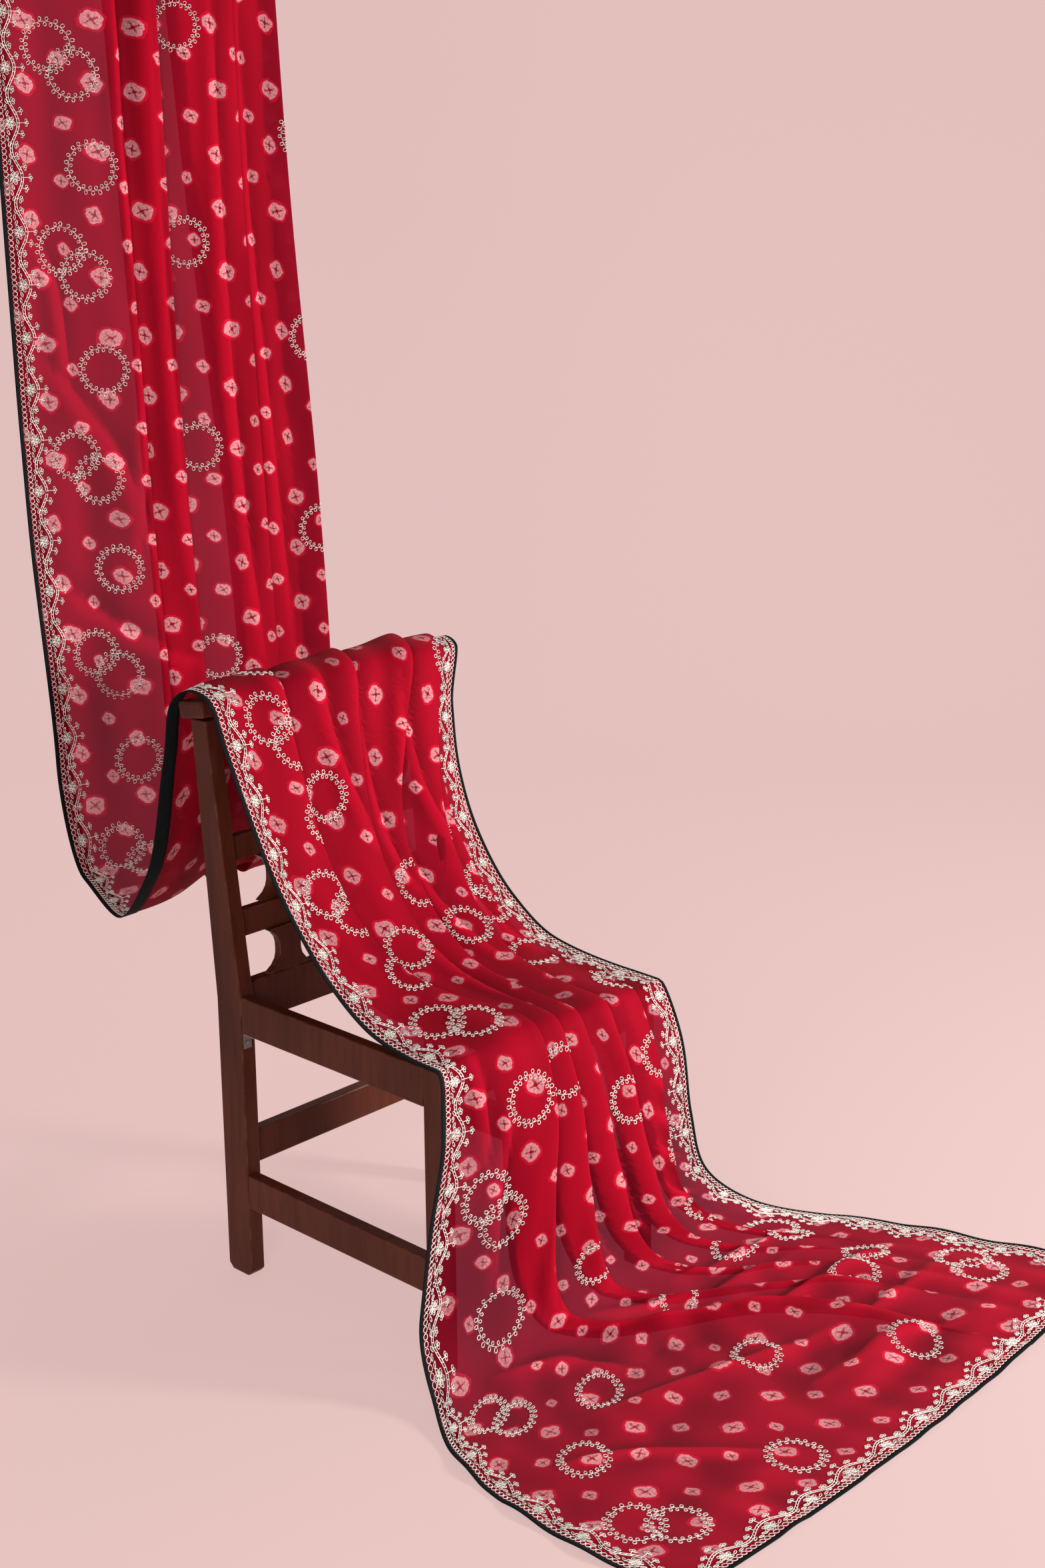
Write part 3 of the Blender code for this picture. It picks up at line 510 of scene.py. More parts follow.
CREASES: Tuple[Crease, ...] = tuple(Crease(*row) for row in (
    (((0.215, 0.05), (0.180, 0.26), (0.192, 0.45), (0.220, 0.64)), 0.0045, 0.0062),
    (((0.205, 0.62), (0.190, 0.80), (0.160, 1.00)), 0.0060, 0.0060),
    (((0.260, -0.05), (0.268, 0.50), (0.290, 1.05)), 0.0060, 0.0060),
    (((0.345, -0.05), (0.350, 0.55), (0.330, 1.25)), 0.0070, 0.0055),
    (((0.036, 0.44), (0.072, 0.53), (0.082, 0.70)), 0.0060, 0.0060),
    (((0.030, 0.62), (0.140, 0.78), (0.200, 0.98)), 0.0090, 0.0050),
    (((0.020, 0.98), (0.160, 1.10), (0.300, 1.16)), 0.0100, 0.0045),
    (((0.520, 0.00), (0.515, 0.60), (0.540, 1.20)), 0.0060, 0.0060),
    (((0.645, 0.00), (0.655, 0.60), (0.690, 1.20)), 0.0060, 0.0060),
    (((0.760, 0.00), (0.770, 0.60), (0.780, 1.15)), 0.0060, 0.0050),
    (((0.108, 2.17), (0.132, 2.32), (0.168, 2.52)), 0.0050, 0.0070),
    (((0.150, 2.48), (0.158, 2.68), (0.180, 2.85)), 0.0060, 0.0070),
    (((0.200, 2.16), (0.222, 2.36), (0.250, 2.60)), 0.0060, 0.0065),
    (((0.330, 2.17), (0.352, 2.32), (0.398, 2.50)), 0.0055, 0.0075),
    (((0.400, 2.20), (0.425, 2.42), (0.455, 2.62)), 0.0050, 0.0060),
    (((0.388, 2.62), (0.392, 2.76), (0.428, 2.88)), 0.0055, 0.0070),
    (((0.500, 2.17), (0.540, 2.45), (0.560, 2.75)), 0.0060, 0.0070),
    (((0.570, 2.18), (0.592, 2.36), (0.625, 2.55)), 0.0050, 0.0070),
    (((0.655, 2.18), (0.672, 2.38), (0.700, 2.62)), 0.0055, 0.0070),
    (((0.760, 2.18), (0.785, 2.44), (0.800, 2.72)), 0.0060, 0.0070),
    (((0.842, 2.17), (0.855, 2.34), (0.900, 2.52)), 0.0055, 0.0065),
    (((0.930, 2.20), (0.940, 2.44), (0.955, 2.70)), 0.0060, 0.0060),
    (((0.055, 2.90), (0.063, 2.98), (0.075, 3.08)), 0.0045, 0.0060),
    (((0.108, 2.98), (0.101, 3.10), (0.122, 3.28)), 0.0050, 0.0065),
    (((0.205, 2.94), (0.215, 3.10), (0.235, 3.36)), 0.0065, 0.0075),
    (((0.330, 2.94), (0.345, 3.12), (0.350, 3.34)), 0.0060, 0.0070),
    (((0.520, 2.95), (0.540, 3.12), (0.560, 3.32)), 0.0060, 0.0070),
    (((0.690, 2.95), (0.715, 3.12), (0.730, 3.30)), 0.0055, 0.0075),
    (((0.905, 3.00), (0.965, 3.05), (1.030, 3.08)), 0.0045, 0.0065),
    (((0.900, 3.06), (0.965, 3.11), (1.035, 3.17)), 0.0050, 0.0070),
    (((0.890, 3.11), (0.950, 3.18), (1.030, 3.26)), 0.0045, 0.0065),
    (((0.880, 3.18), (0.930, 3.25), (1.000, 3.32)), 0.0055, 0.0065),
    (((0.100, 3.40), (0.240, 3.45), (0.330, 3.54)), 0.0110, 0.0080),
    (((0.270, 3.38), (0.440, 3.49), (0.620, 3.58)), 0.0120, 0.0150),
    (((0.540, 3.555), (0.760, 3.605), (1.010, 3.62)), 0.0120, 0.0140),
    (((0.380, 3.39), (0.560, 3.475), (0.860, 3.535)), 0.0110, 0.0120),
    (((0.620, 3.43), (0.800, 3.46), (0.980, 3.47)), 0.0110, 0.0090),
    (((0.180, 3.56), (0.400, 3.62), (0.640, 3.70)), 0.0120, 0.0070),
    (((0.640, 3.68), (0.800, 3.71), (0.980, 3.71)), 0.0120, 0.0080),
    (((0.080, 3.60), (0.220, 3.68), (0.330, 3.80)), 0.0080, 0.0060),
    (((0.480, 3.74), (0.640, 3.76), (0.820, 3.82)), 0.0080, 0.0060),
))


def smooth_curve(knots: Array, values: Sequence, x: Array) -> Array:
    """Smooth curve through values at knots that doesn't overshoot them.

    Args:
        knots: Places of the values.
        values: One value or point for each knot.
        x: Where the curve is read.

    Returns:
        One row for each x.
    """
    points = np.asarray(values, float).reshape(len(knots), -1)
    step = np.diff(knots)[:, None]
    rate = np.diff(points, axis=0) / step
    slope = np.gradient(points, knots, axis=0)
    for i in range(1, len(knots) - 1):
        limit = 2.0 * np.minimum(abs(rate[i - 1]), abs(rate[i]))
        same_way = rate[i - 1] * rate[i] > 0
        slope[i] = np.where(same_way, np.sign(rate[i]) * np.minimum(abs(slope[i]), limit), 0.35 * slope[i])
    i = np.clip(np.searchsorted(knots, x, side="right") - 1, 0, len(knots) - 2)
    h = step[i]
    f = (np.asarray(x) - knots[i])[:, None] / h
    start = (2 * f**3 - 3 * f**2 + 1) * points[i] + (f**3 - 2 * f**2 + f) * h * slope[i]
    end = (3 * f**2 - 2 * f**3) * points[i + 1] + (f**3 - f**2) * h * slope[i + 1]
    return start + end


def ease(x: Array) -> Array:
    """Smooth step between 0 and 1."""
    x = np.clip(x, 0.0, 1.0)
    return x * x * (3.0 - 2.0 * x)


def unit_rows(vectors: Array) -> Array:
    """The same vectors with a length of 1."""
    return vectors / np.maximum(np.linalg.norm(vectors, axis=-1, keepdims=True), 1e-12)


def face_normals(points: Array) -> Array:
    """Normals of a grid of points, on the cloth's face."""
    return unit_rows(np.cross(np.gradient(points, axis=0), np.gradient(points, axis=1)))


def from_zero(steps: Array) -> Array:
    """Running sums along the last axis, with a 0 before the first."""
    sums = np.cumsum(steps, -1)
    return np.concatenate([np.zeros((*sums.shape[:-1], 1)), sums], -1)


def run_length(line: Array) -> Array:
    """Distance walked along a line of points."""
    return from_zero(np.linalg.norm(np.diff(line, axis=0), axis=1))


def leaned(share: Array, left: Array, right: Array) -> Array:
    """Values between those of the left and the right border, at shares of the cloth's width."""
    return (1.0 - share) * left + share * right


def above(height: Array) -> Array:
    """How far each place stands over the cloth around it.

    Args:
        height: Heights at each row and step.

    Returns:
        Heights over their own running mean, which reaches further along a row than from row to row.
    """
    smooth = height
    for _ in range(10):
        padded = np.pad(smooth, ((0, 0), (6, 6)), "edge")
        smooth = (padded[:, :-12] + smooth + padded[:, 12:]) / 3.0
    for _ in range(4):
        padded = np.pad(smooth, ((1, 1), (0, 0)), "edge")
        smooth = (padded[:-2] + smooth + padded[2:]) / 3.0
    return height - smooth


def between(grid: Array, row: Array, column: Array) -> Array:
    """Grid values between four neighbours.

    Args:
        grid: Vectors, as (row, column, 3).
        row: Rows with fractions.
        column: Columns with fractions.

    Returns:
        One vector for each place.
    """
    i = np.clip(row.astype(int), 0, grid.shape[0] - 2)
    j = np.clip(column.astype(int), 0, grid.shape[1] - 2)
    a, b = (row - i)[..., None], (column - j)[..., None]
    near = (1 - b) * grid[i, j] + b * grid[i, j + 1]
    far = (1 - b) * grid[i + 1, j] + b * grid[i + 1, j + 1]
    return (1 - a) * near + a * far


@dataclass
class Drape:
    """The cloth's middle surface, on a fine grid across (u) and along (v) the cloth.

    Rows stand at t, the way along the sections. `dense` says where they stand closer: place, spread and how much.
    The `closer` fields draw the mesh's columns to turns, folds and creases. `waves` are broad soft waves: size
    across, size along and height. The `calm` fields say where these and the creases fade: at two bends and near edges.
    """

    offset: Array
    rows: int = 452
    steps: int = 1076
    columns: int = 214
    fold_turn: float = math.radians(174.0)
    ramp: float = 0.090
    crispness: float = 0.58
    on_floor: float = 0.0024
    floor_start: float = 3.42
    floor_lift: float = 0.0012
    floor_wave: float = 0.0011
    floor_wave_length: Tuple[float, float] = (0.09, 0.20)
    floor_wave_angle: Tuple[float, float] = (0.35, 0.45)
    closer_turn: float = 0.045
    closer_fold: float = 0.010
    closer_crease: float = 2.2
    calm_bends: Tuple[Tuple[float, float], ...] = ((2.14, 0.05), (2.88, 0.035))
    calm_edge: float = 0.028
    calm_fade: float = 0.030
    # Painted highlight: the next field sets how strongly crease ridges are drawn toward the brighter doubled red.
    painted_crease_highlight: float = 60.0
    # Painted shade and light: the next two fields set how much darker troughs and pleat edges are drawn, and how much
    # lighter ridges are.
    crease_shade: float = 330.0
    pleat_shade: float = 105.0
    waves: Tuple[Point, ...] = ((0.085, 0.45, 0.00066), (0.050, 0.20, 0.00033))
    dense: Tuple[Point, ...] = (
        (0.700, 0.700, -0.45), (1.640, 0.120, 0.8), (2.140, 0.060, 3.0), (2.885, 0.050, 3.0), (3.350, 0.070, 1.6),
        (3.530, 0.110, 1.3),
    )

    def __post_init__(self) -> None:
        """Place the rows and steps, and work out the surface."""
        runs = [np.linalg.norm(np.diff([getattr(s, side) for s in SECTIONS], axis=0), axis=1)
                for side in ("left", "right")]
        self.knots: Array = from_zero(0.5 * (runs[0] + runs[1]))
        names = [s.name for s in SECTIONS]
        self.stage_knots: Array = np.array([self.knots[names.index(name)] for name in STAGES])
        even = np.linspace(0.0, self.knots[-1], 4000)
        reached = np.cumsum(1.0 + sum(more * np.exp(-((even - at) / wide) ** 2) for at, wide, more in self.dense))
        self.t: Array = np.interp(np.linspace(reached[0], reached[-1], self.rows), reached, even)
        self.u: Array = np.linspace(0.0, CLOTH_WIDTH, self.steps)
        self.du: float = self.u[1] - self.u[0]
        self.solve()
        self.measure()
        self.gather()

    def section(self, name: str, t: Array) -> Array:
        """One of the sections' values at distances t."""
        return smooth_curve(self.knots, [getattr(s, name) for s in SECTIONS], t)

    def staged(self, values: Sequence[float]) -> Array:
        """A value that is given at each stage, read at each row."""
        return smooth_curve(self.stage_knots, values, self.t)

    def lengths(self, left_run: Array, right_run: Array) -> Array:
        """Length of cloth from the top at each row and step, from the lengths along both borders."""
        return leaned(self.u / CLOTH_WIDTH, left_run[:, None], right_run[:, None])

    def solve(self) -> None:
        """Lay out every section with its pleats, add the soft creases, and keep points and normals."""
        t = self.t
        left, right = self.section("left", t), self.section("right", t)
        reach = 0.02
        back, fore = (np.clip(t + step, 0.0, self.knots[-1]) for step in (-reach, reach))
        ahead = sum(self.section(side, fore) for side in ("left", "right"))
        ahead = ahead - sum(self.section(side, back) for side in ("left", "right"))
        normal = unit_rows(np.cross(ahead, right - left))
        chord = np.linalg.norm(right - left, axis=1)
        along, height = self.pleated(chord)
        share = along / chord[:, None]
        inside = np.clip(share, 0.0, 1.0)
        middle = 4.0 * inside * (1.0 - inside)
        height = height * self.staged(FULLNESS) + self.section("crown", t) * middle
        lead = self.section("bow", t) * middle
        points = left[:, None] + share[..., None] * (right - left)[:, None]
        points = points + height[..., None] * normal[:, None] + lead[..., None] * unit_rows(ahead)[:, None]
        v = self.lengths(run_length(points[:, 0]), run_length(points[:, -1]))
        points = points + self.creases(v, height)[..., None] * face_normals(points)
        points[..., 2] = np.maximum(points[..., 2], self.on_floor)
        self.points: Array = points + self.offset
        self.normals: Array = face_normals(points)

    def measure(self) -> None:
        """Length of cloth from the top: each row's mean step, and how it leans from border to border."""
        steps = np.linalg.norm(np.diff(self.points, axis=0), axis=2) / np.diff(self.t)[:, None]
        centred = self.u - self.u.mean()
        lean = (steps * centred).sum(1) / (centred ** 2).sum()
        window = np.hanning(13)
        half, window = len(window) // 2, window / window.sum()
        mean, lean = (np.convolve(np.pad(x, half, "edge"), window, "valid") for x in (steps.mean(1), lean))
        runs = [from_zero((mean + side * lean) * np.diff(self.t)) for side in centred[[0, -1]]]
        self.left_run, self.right_run = runs
        self.v: Array = self.lengths(*runs)

    def gather(self) -> None:
        """Where each row's mesh columns stand: closer together where the cloth turns or folds."""
        weight = 1.0 + self.closer_turn * self.turning
        weight += self.closer_fold * abs(np.gradient(self.layers_and_painted_light, self.du, axis=1))
        weight += self.closer_crease * abs(np.gradient(self.ridges, self.du, axis=1))
        reached = np.cumsum(weight, 1)
        reached = (reached - reached[:, :1]) / (reached[:, -1:] - reached[:, :1])
        want = np.linspace(0.0, 1.0, self.columns)
        self.places: Array = np.array([np.interp(want, row, self.u) for row in reached])

    def at_columns(self, values: Array) -> Array:
        """Values at each row and step, read at the mesh's columns."""
        return np.array([np.interp(place, self.u, row) for place, row in zip(self.places, values)])

    def pleated(self, chord: Array) -> Tuple[Array, Array]:
        """Turn each section back and forward at its pleats until the cloth's width fits its chord.

        Args:
            chord: Straight distance between the borders at each row.

        Returns:
            The way along the chord and the height over it, for each row and step.
        """
        u, du, rows = self.u, self.du, np.arange(self.rows)
        soft = self.crispness * self.section("softness", self.t)
        edge = np.stack([self.staged(pleat.place)[:, 0] for pleat in PLEATS], 1) * chord[:, None]
        overlap = np.stack([self.staged(pleat.overlap)[:, 0] for pleat in PLEATS], 1)

        def heading(scale: Array) -> Tuple[Array, Array, Array]:
            """Direction of the cloth along each section, with each pleat's overlap and centre.

            Args:
                scale: How much of its overlap each row's pleats take.

            Returns:
                Angles at each row and step, and overlaps and centres at each row and pleat.
            """
            lap = overlap * scale[:, None]
            centre = edge + np.cumsum(2.0 * lap, 1) - 1.5 * lap
            angle = np.zeros((self.rows, self.steps))
            for k in range(len(PLEATS)):
                x, half = u[None] - centre[:, k:k + 1], 0.5 * lap[:, k:k + 1]
                angle -= 0.5 * self.fold_turn * (np.tanh((x + half) / soft) - np.tanh((x - half) / soft))
            return angle, lap, centre

        low, high = np.zeros(self.rows), np.full(self.rows, 3.0)
        for _ in range(22):
            middle = 0.5 * (low + high)
            too_wide = np.cos(heading(middle)[0]).sum(1) * du > chord
            low, high = np.where(too_wide, middle, low), np.where(too_wide, high, middle)
        angle, lap, centre = heading(0.5 * (low + high))
        along, height = (from_zero(0.5 * (rate[:, 1:] + rate[:, :-1]) * du) for rate in (np.cos(angle), np.sin(angle)))
        along *= (chord / along[:, -1])[:, None]
        lift = np.zeros_like(height)
        ramp = self.ramp + 1.5 * soft
        for k in range(len(PLEATS)):
            near = 0.5 * lap[:, k] + 3.0 * soft[:, 0]
            before, after = (np.clip(((centre[:, k] + way) / du).astype(int), 0, len(u) - 1) for way in (-near, near))
            drop = height[rows, before] - height[rows, after]
            start = (edge[:, k] - lap[:, k])[:, None] - 0.004 - ramp
            lift += drop[:, None] * ease((along - start) / ramp)
        # How much cloth lies over itself; creases() later adds painted highlights on ridges and painted light by
        # region to it.
        self.layers_and_painted_light: Array = self.layers(along, chord)
        self.turning: Array = abs(np.gradient(angle, du, axis=1))
        return along, height + lift

    @staticmethod
    def layers(along: Array, chord: Array, bins: int = 420) -> Array:
        """How much of the cloth lies over itself at each place.

        Args:
            along: The way along the chord at each row and step.
            chord: The chord of each row.
            bins: Places at which the layers are counted.

        Returns:
            0 for one layer to 1 for three and more.
        """
        count = len(chord)
        share = np.clip(along / chord[:, None], 0.0, 1.0 - 1e-9)
        cell = (share * bins).astype(int) + bins * np.arange(count)[:, None]
        walked = abs(np.gradient(share, axis=1))
        found = np.bincount(cell.ravel(), walked.ravel(), count * bins).reshape(count, bins) * bins
        found = 0.25 * (np.roll(found, 1, 1) + 2.0 * found + np.roll(found, -1, 1))
        found[:, [0, -1]] = 1.0
        found[1:-1] = 0.25 * (found[:-2] + 2.0 * found[1:-1] + found[2:])
        return ease(np.clip(0.5 * (found.ravel()[cell] - 1.0), 0.0, 1.0))

    def creases(self, v: Array, pleat_height: Array) -> Array:
        """Soft troughs and ridges, with painted shade in troughs and beside pleat edges, and painted light on ridges
        and over whole regions.

        Args:
            v: Length of cloth from the top at each row and step.
            pleat_height: Height of the pleats there.

        Returns:
            Heights over the smooth drape.
        """
        rng = np.random.default_rng(7)
        u, t = self.u[None], self.t[:, None]
        waves = np.zeros(v.shape)
        for across, down, height in self.waves:
            for _ in range(9):
                turns = [rng.normal(0.0, 1.0) * FULL_TURN / (2.2 * size) for size in (across, down)]
                waves += height * np.sin(turns[0] * u + turns[1] * t + rng.uniform(0.0, 6.283))
        floor = ease((t - self.floor_start) / 0.10) * ease((self.knots[-1] - 0.02 - t) / 0.10)
        for _ in range(10):
            angle = rng.normal(*self.floor_wave_angle)
            wave = FULL_TURN / rng.uniform(*self.floor_wave_length)
            phase = rng.uniform(0.0, 6.283)
            waves += self.floor_wave * floor * np.sin(wave * (math.sin(angle) * u + math.cos(angle) * t) + phase)
        bends = sum(np.exp(-((t - at) / wide) ** 2) for at, wide in self.calm_bends)
        calm = (1.0 - 0.8 * np.clip(bends, 0.0, 1.0)) / (1.0 + 0.02 * self.turning)
        ridges: Array = sum(self.ridge(crease, u, v) for crease in CREASES)
        # Painted highlight: crease ridges are drawn toward the brighter doubled red.
        layers_and_painted_light = np.clip(self.layers_and_painted_light + self.painted_crease_highlight * np.maximum(ridges, 0.0), 0.0, 1.0)
        # Painted light by region: each stage's share pulls the colour toward the brighter doubled red.
        self.layers_and_painted_light = np.maximum(layers_and_painted_light, 0.75 * layers_and_painted_light + self.staged(PAINTED_LIGHT_BY_STAGE) * (1.0 - 0.75 * layers_and_painted_light))
        # Painted shade and light: darker where the cloth lies below the cloth around it, lighter where it stands above
        # it.
        shade = 0.5 + self.crease_shade * above(waves + ridges) + self.pleat_shade * above(pleat_height)
        self.painted_fold_shading: Array = np.clip(shade, 0.0, 1.0)
        self.ridges: Array = ridges
        inside = ease((np.minimum(u, CLOTH_WIDTH - u) - self.calm_edge) / self.calm_fade)
        inside = inside * ease((v[-1:] - v - self.calm_fade) / self.calm_fade)
        return (waves + self.floor_lift * floor + ridges * inside) * calm

    @staticmethod
    def ridge(crease: Crease, u: Array, v: Array) -> Array:
        """Height of a crease, which fades out towards both of its ends.

        Args:
            crease: The crease.
            u: Places across the cloth.
            v: Places along the cloth.

        Returns:
            The heights.
        """
        line = np.array(crease.path)
        fine = smooth_curve(np.arange(len(line), dtype=float), line, np.linspace(0.0, len(line) - 1.0, 13))
        reached = run_length(fine)
        reached = reached / reached[-1]
        best, width = np.full(v.shape, 9.0), np.full(v.shape, crease.width)
        share = np.zeros(v.shape)
        for k, (start, end) in enumerate(zip(fine[:-1], fine[1:])):
            way = end - start
            f = np.clip(((u - start[0]) * way[0] + (v - start[1]) * way[1]) / (way @ way), 0.0, 1.0)
            gap = np.hypot(u - start[0] - f * way[0], v - start[1] - f * way[1])
            closer = gap < best
            gentle = (u - start[0]) * way[1] < (v - start[1]) * way[0]
            best = np.where(closer, gap, best)
            width = np.where(closer, np.where(gentle, crease.gentle, crease.steep) * crease.width, width)
            share = np.where(closer, reached[k] + f * (reached[k + 1] - reached[k]), share)
        swell = np.sin(math.pi * np.clip(share, 0.0, 1.0)) ** 0.8
        return crease.height * swell * np.exp(-(best / width) ** 2)

    def length_at(self, u: Array) -> Array:
        """Length of the cloth from top to hem at each u."""
        return leaned(np.asarray(u) / CLOTH_WIDTH, self.left_run[-1], self.right_run[-1])

    def at(self, u: Array, v: Array) -> Tuple[Array, Array]:
        """Points and normals at places on the cloth.

        Args:
            u: Distance from the left border.
            v: Distance from the top.

        Returns:
            Points and unit normals.
        """
        share = np.clip(u / CLOTH_WIDTH, 0.0, 1.0)
        row = np.interp(v, 0.5 * (self.left_run + self.right_run), np.arange(self.rows))
        for _ in range(4):
            near = np.clip(row.astype(int), 0, self.rows - 2)
            start, end = (leaned(share, self.left_run[i], self.right_run[i]) for i in (near, near + 1))
            row = np.clip(near + (v - start) / (end - start), 0.0, self.rows - 1.0)
        column = share * (self.steps - 1)
        return between(self.points, row, column), unit_rows(between(self.normals, row, column))

    def narrowing(self, centres: Array, radius: float) -> Array:
        """How much narrower a ring is drawn so that it stays round on the cloth.

        Args:
            centres: Ring centres, as (ring, (u, v)).
            radius: Its radius.

        Returns:
            One share for each ring.
        """
        side = np.linspace(-radius, radius, 9)
        u = np.clip(centres[:, :1] + side, 0.0, CLOTH_WIDTH)
        points, _ = self.at(u, np.repeat(centres[:, 1:], len(side), 1))
        found = np.linalg.norm(np.diff(points, axis=1), axis=2).sum(1) / (u[:, -1] - u[:, 0])
        return 1.0 / np.clip(found, 0.8, 1.4)


# ------------------------------------------------------------------ cloth and binding
def linked(name: str, mesh: bpy.types.Mesh, material: bpy.types.Material) -> bpy.types.Object:
    """Put a finished mesh in the scene, smooth-shaded.

    Args:
        name: The piece's name.
        mesh: Its mesh.
        material: Its material.

    Returns:
        The object.
    """
    mesh.shade_smooth()
    mesh.materials.clear()
    mesh.materials.append(material)
    obj = bpy.data.objects.new(name, mesh)
    bpy.context.scene.collection.objects.link(obj)
    LOG.info("%s: %d faces", name, len(mesh.polygons))
    return obj


def shaped_grid(name: str, points: Array, material: bpy.types.Material, closed: bool = False) -> bpy.types.Object:
    """A grid laid through points, facing (down its rows) x (along its columns).

    Args:
        name: The piece's name.
        points: Its points, as (row, column, 3).
        material: Its material.
        closed: Whether the last column meets the first, and both ends are capped.

    Returns:
        The object.
    """
    rows, columns = points.shape[:2]
    bm = bmesh.new()
    bmesh.ops.create_grid(bm, x_segments=columns - 1, y_segments=rows - 1, size=1.0)
    bmesh.ops.reverse_faces(bm, faces=bm.faces)
    mesh = bpy.data.meshes.new(name)
    bm.to_mesh(mesh)
    mesh.vertices.foreach_set("co", np.ascontiguousarray(points, np.float32).ravel())
    if closed:
        bm.clear()
        bm.from_mesh(mesh)
        bmesh.ops.remove_doubles(bm, verts=bm.verts, dist=1e-6)
        bmesh.ops.holes_fill(bm, edges=[edge for edge in bm.edges if edge.is_boundary])
        bmesh.ops.recalc_face_normals(bm, faces=bm.faces)
        bm.to_mesh(mesh)
    bm.free()
    mesh.update()
    return linked(name, mesh, material)


@dataclass
class ClothSheet:
    """The long sheer cloth."""

    drape: Drape
    finish: ClothFinish = ClothFinish()

    def build(self) -> bpy.types.Object:
        """Make the sheet with its coordinates in metres, its layers with their painted light, and its painted fold
        shading.

        Returns:
            The cloth.
        """
        drape = self.drape
        grid = np.stack([drape.at_columns(drape.points[..., axis]) for axis in range(3)], -1)
        cloth = shaped_grid("cloth_sheet", grid, TieDye(self.finish).build())
        flat = np.stack([drape.places, drape.at_columns(drape.v)], -1).reshape(-1, 2)
        loops = np.empty(len(cloth.data.loops), np.int32)
        cloth.data.loops.foreach_get("vertex_index", loops)
        layer = cloth.data.uv_layers.new(name=CLOTH_MAP)
        layer.data.foreach_set("uv", np.ascontiguousarray(flat[loops], np.float32).ravel())
        for name, values in (("layers_and_painted_light", drape.layers_and_painted_light), ("painted_fold_shading", drape.painted_fold_shading)):
            attribute = cloth.data.attributes.new(name, "FLOAT", "POINT")
            attribute.data.foreach_set("value", np.ascontiguousarray(drape.at_columns(values), np.float32).ravel())
        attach(cloth, BODY)
        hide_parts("cloth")
        return cloth


@dataclass
class Binding:
    """Black strip folded round both long edges and the hem: narrow on the face, wide on the reverse."""

    drape: Drape
    face: float = 0.0045
    reverse: float = 0.0250
    thick: float = 0.0007
    lift: float = 0.0004
    step: float = 0.004
    stations: int = 440
    hem_stations: int = 190

    def outline(self) -> Tuple[Array, Array, Array, Array]:
        """Stations along the left edge, the hem and the right edge.

        Returns:
            u and v of each station, and its way into the cloth along u and v.
        """
        end, far = (self.drape.length_at(u) for u in (0.0, CLOTH_WIDTH))
        mitre = self.reverse + 0.001
        down = np.linspace(0.0, end - mitre, self.stations)
        hem = np.linspace(mitre, CLOTH_WIDTH - mitre, self.hem_stations)
        up = np.linspace(far - mitre, 0.0, self.stations)
        u = np.concatenate([0 * down, [0.0], hem, [CLOTH_WIDTH], 0 * up + CLOTH_WIDTH])
        v = np.concatenate([down, [end], self.drape.length_at(hem), [far], up])
        in_u = np.concatenate([0 * down + 1, [1.0], 0 * hem, [-1.0], 0 * up - 1])
        in_v = np.concatenate([0 * down, [-1.0], 0 * hem - 1, [-1.0], 0 * up])
        return u, v, in_u, in_v

    def profile(self) -> List[Tuple[float, float]]:
        """Section of the strip.

        Returns:
            Once round it, the way into the cloth and the height over it.
        """
        low, top = self.lift, self.lift + self.thick
        over, under = (
            [(-radius * math.cos(a), -radius * math.sin(a)) for a in np.radians(turns)]
            for radius, turns in ((top, (60.0, 20.0, -20.0, -60.0)), (low, (-45.0, 45.0)))
        )
        back = [(share * self.reverse, -top) for share in (1.0, 0.65, 0.3, 0.0)]
        inner = [(share * self.reverse, -low) for share in (0.3, 0.65, 1.0)]
        return back + over + [(0.0, top), (self.face, top), (self.face, low), (0.0, low)] + under + inner

    def build(self) -> bpy.types.Object:
        """Loft the folded strip.

        Returns:
            The binding.
        """
        u, v, in_u, in_v = self.outline()
        rings = []
        for inward, height in self.profile():
            reach = max(inward, 0.0)
            point, normal = self.drape.at(u + reach * in_u, v + reach * in_v)
            if inward < 0.0:
                inner, _ = self.drape.at(u + self.step * in_u, v + self.step * in_v)
                point = point + inward * unit_rows(inner - point)
            rings.append(point + height * normal)
        rings.append(rings[0])
        strip = shaped_grid("binding_strip", np.stack(rings, 1), plain_material(BINDING), closed=True)
        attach(strip, BODY)
        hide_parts("binding")
        return strip


# ------------------------------------------------------------------ thread work
class Edge(Enum):
    """Which bound edge a border runs along."""

    LEFT = "left"
    RIGHT = "right"
    HEM = "hem"


def oval(radius: float, count: int, squeeze: float = 1.0) -> Array:
    """Points of a closed oval round the origin.

    Args:
        radius: Half its width.
        count: Number of points.
        squeeze: Its length over its width.

    Returns:
        The points, once round.
    """
    a = np.linspace(0.0, FULL_TURN, count, endpoint=False)
    return np.stack([radius * np.cos(a), squeeze * radius * np.sin(a)], 1)


def placed(shape: Array, origins: Array, angles: Array, scales: Array) -> Array:
    """One shape at many places.

    Args:
        shape: Its points, as (point, 2).
        origins: Where each copy's origin goes.
        angles: Each copy's turn.
        scales: Each copy's scale.

    Returns:
        Paths as (copy, point, 2).
    """
    cos, sin = np.cos(angles)[:, None], np.sin(angles)[:, None]
    x, y = shape[None, :, 0] * scales[:, None], shape[None, :, 1] * scales[:, None]
    return np.stack([origins[:, None, 0] + x * cos - y * sin, origins[:, None, 1] + x * sin + y * cos], -1)


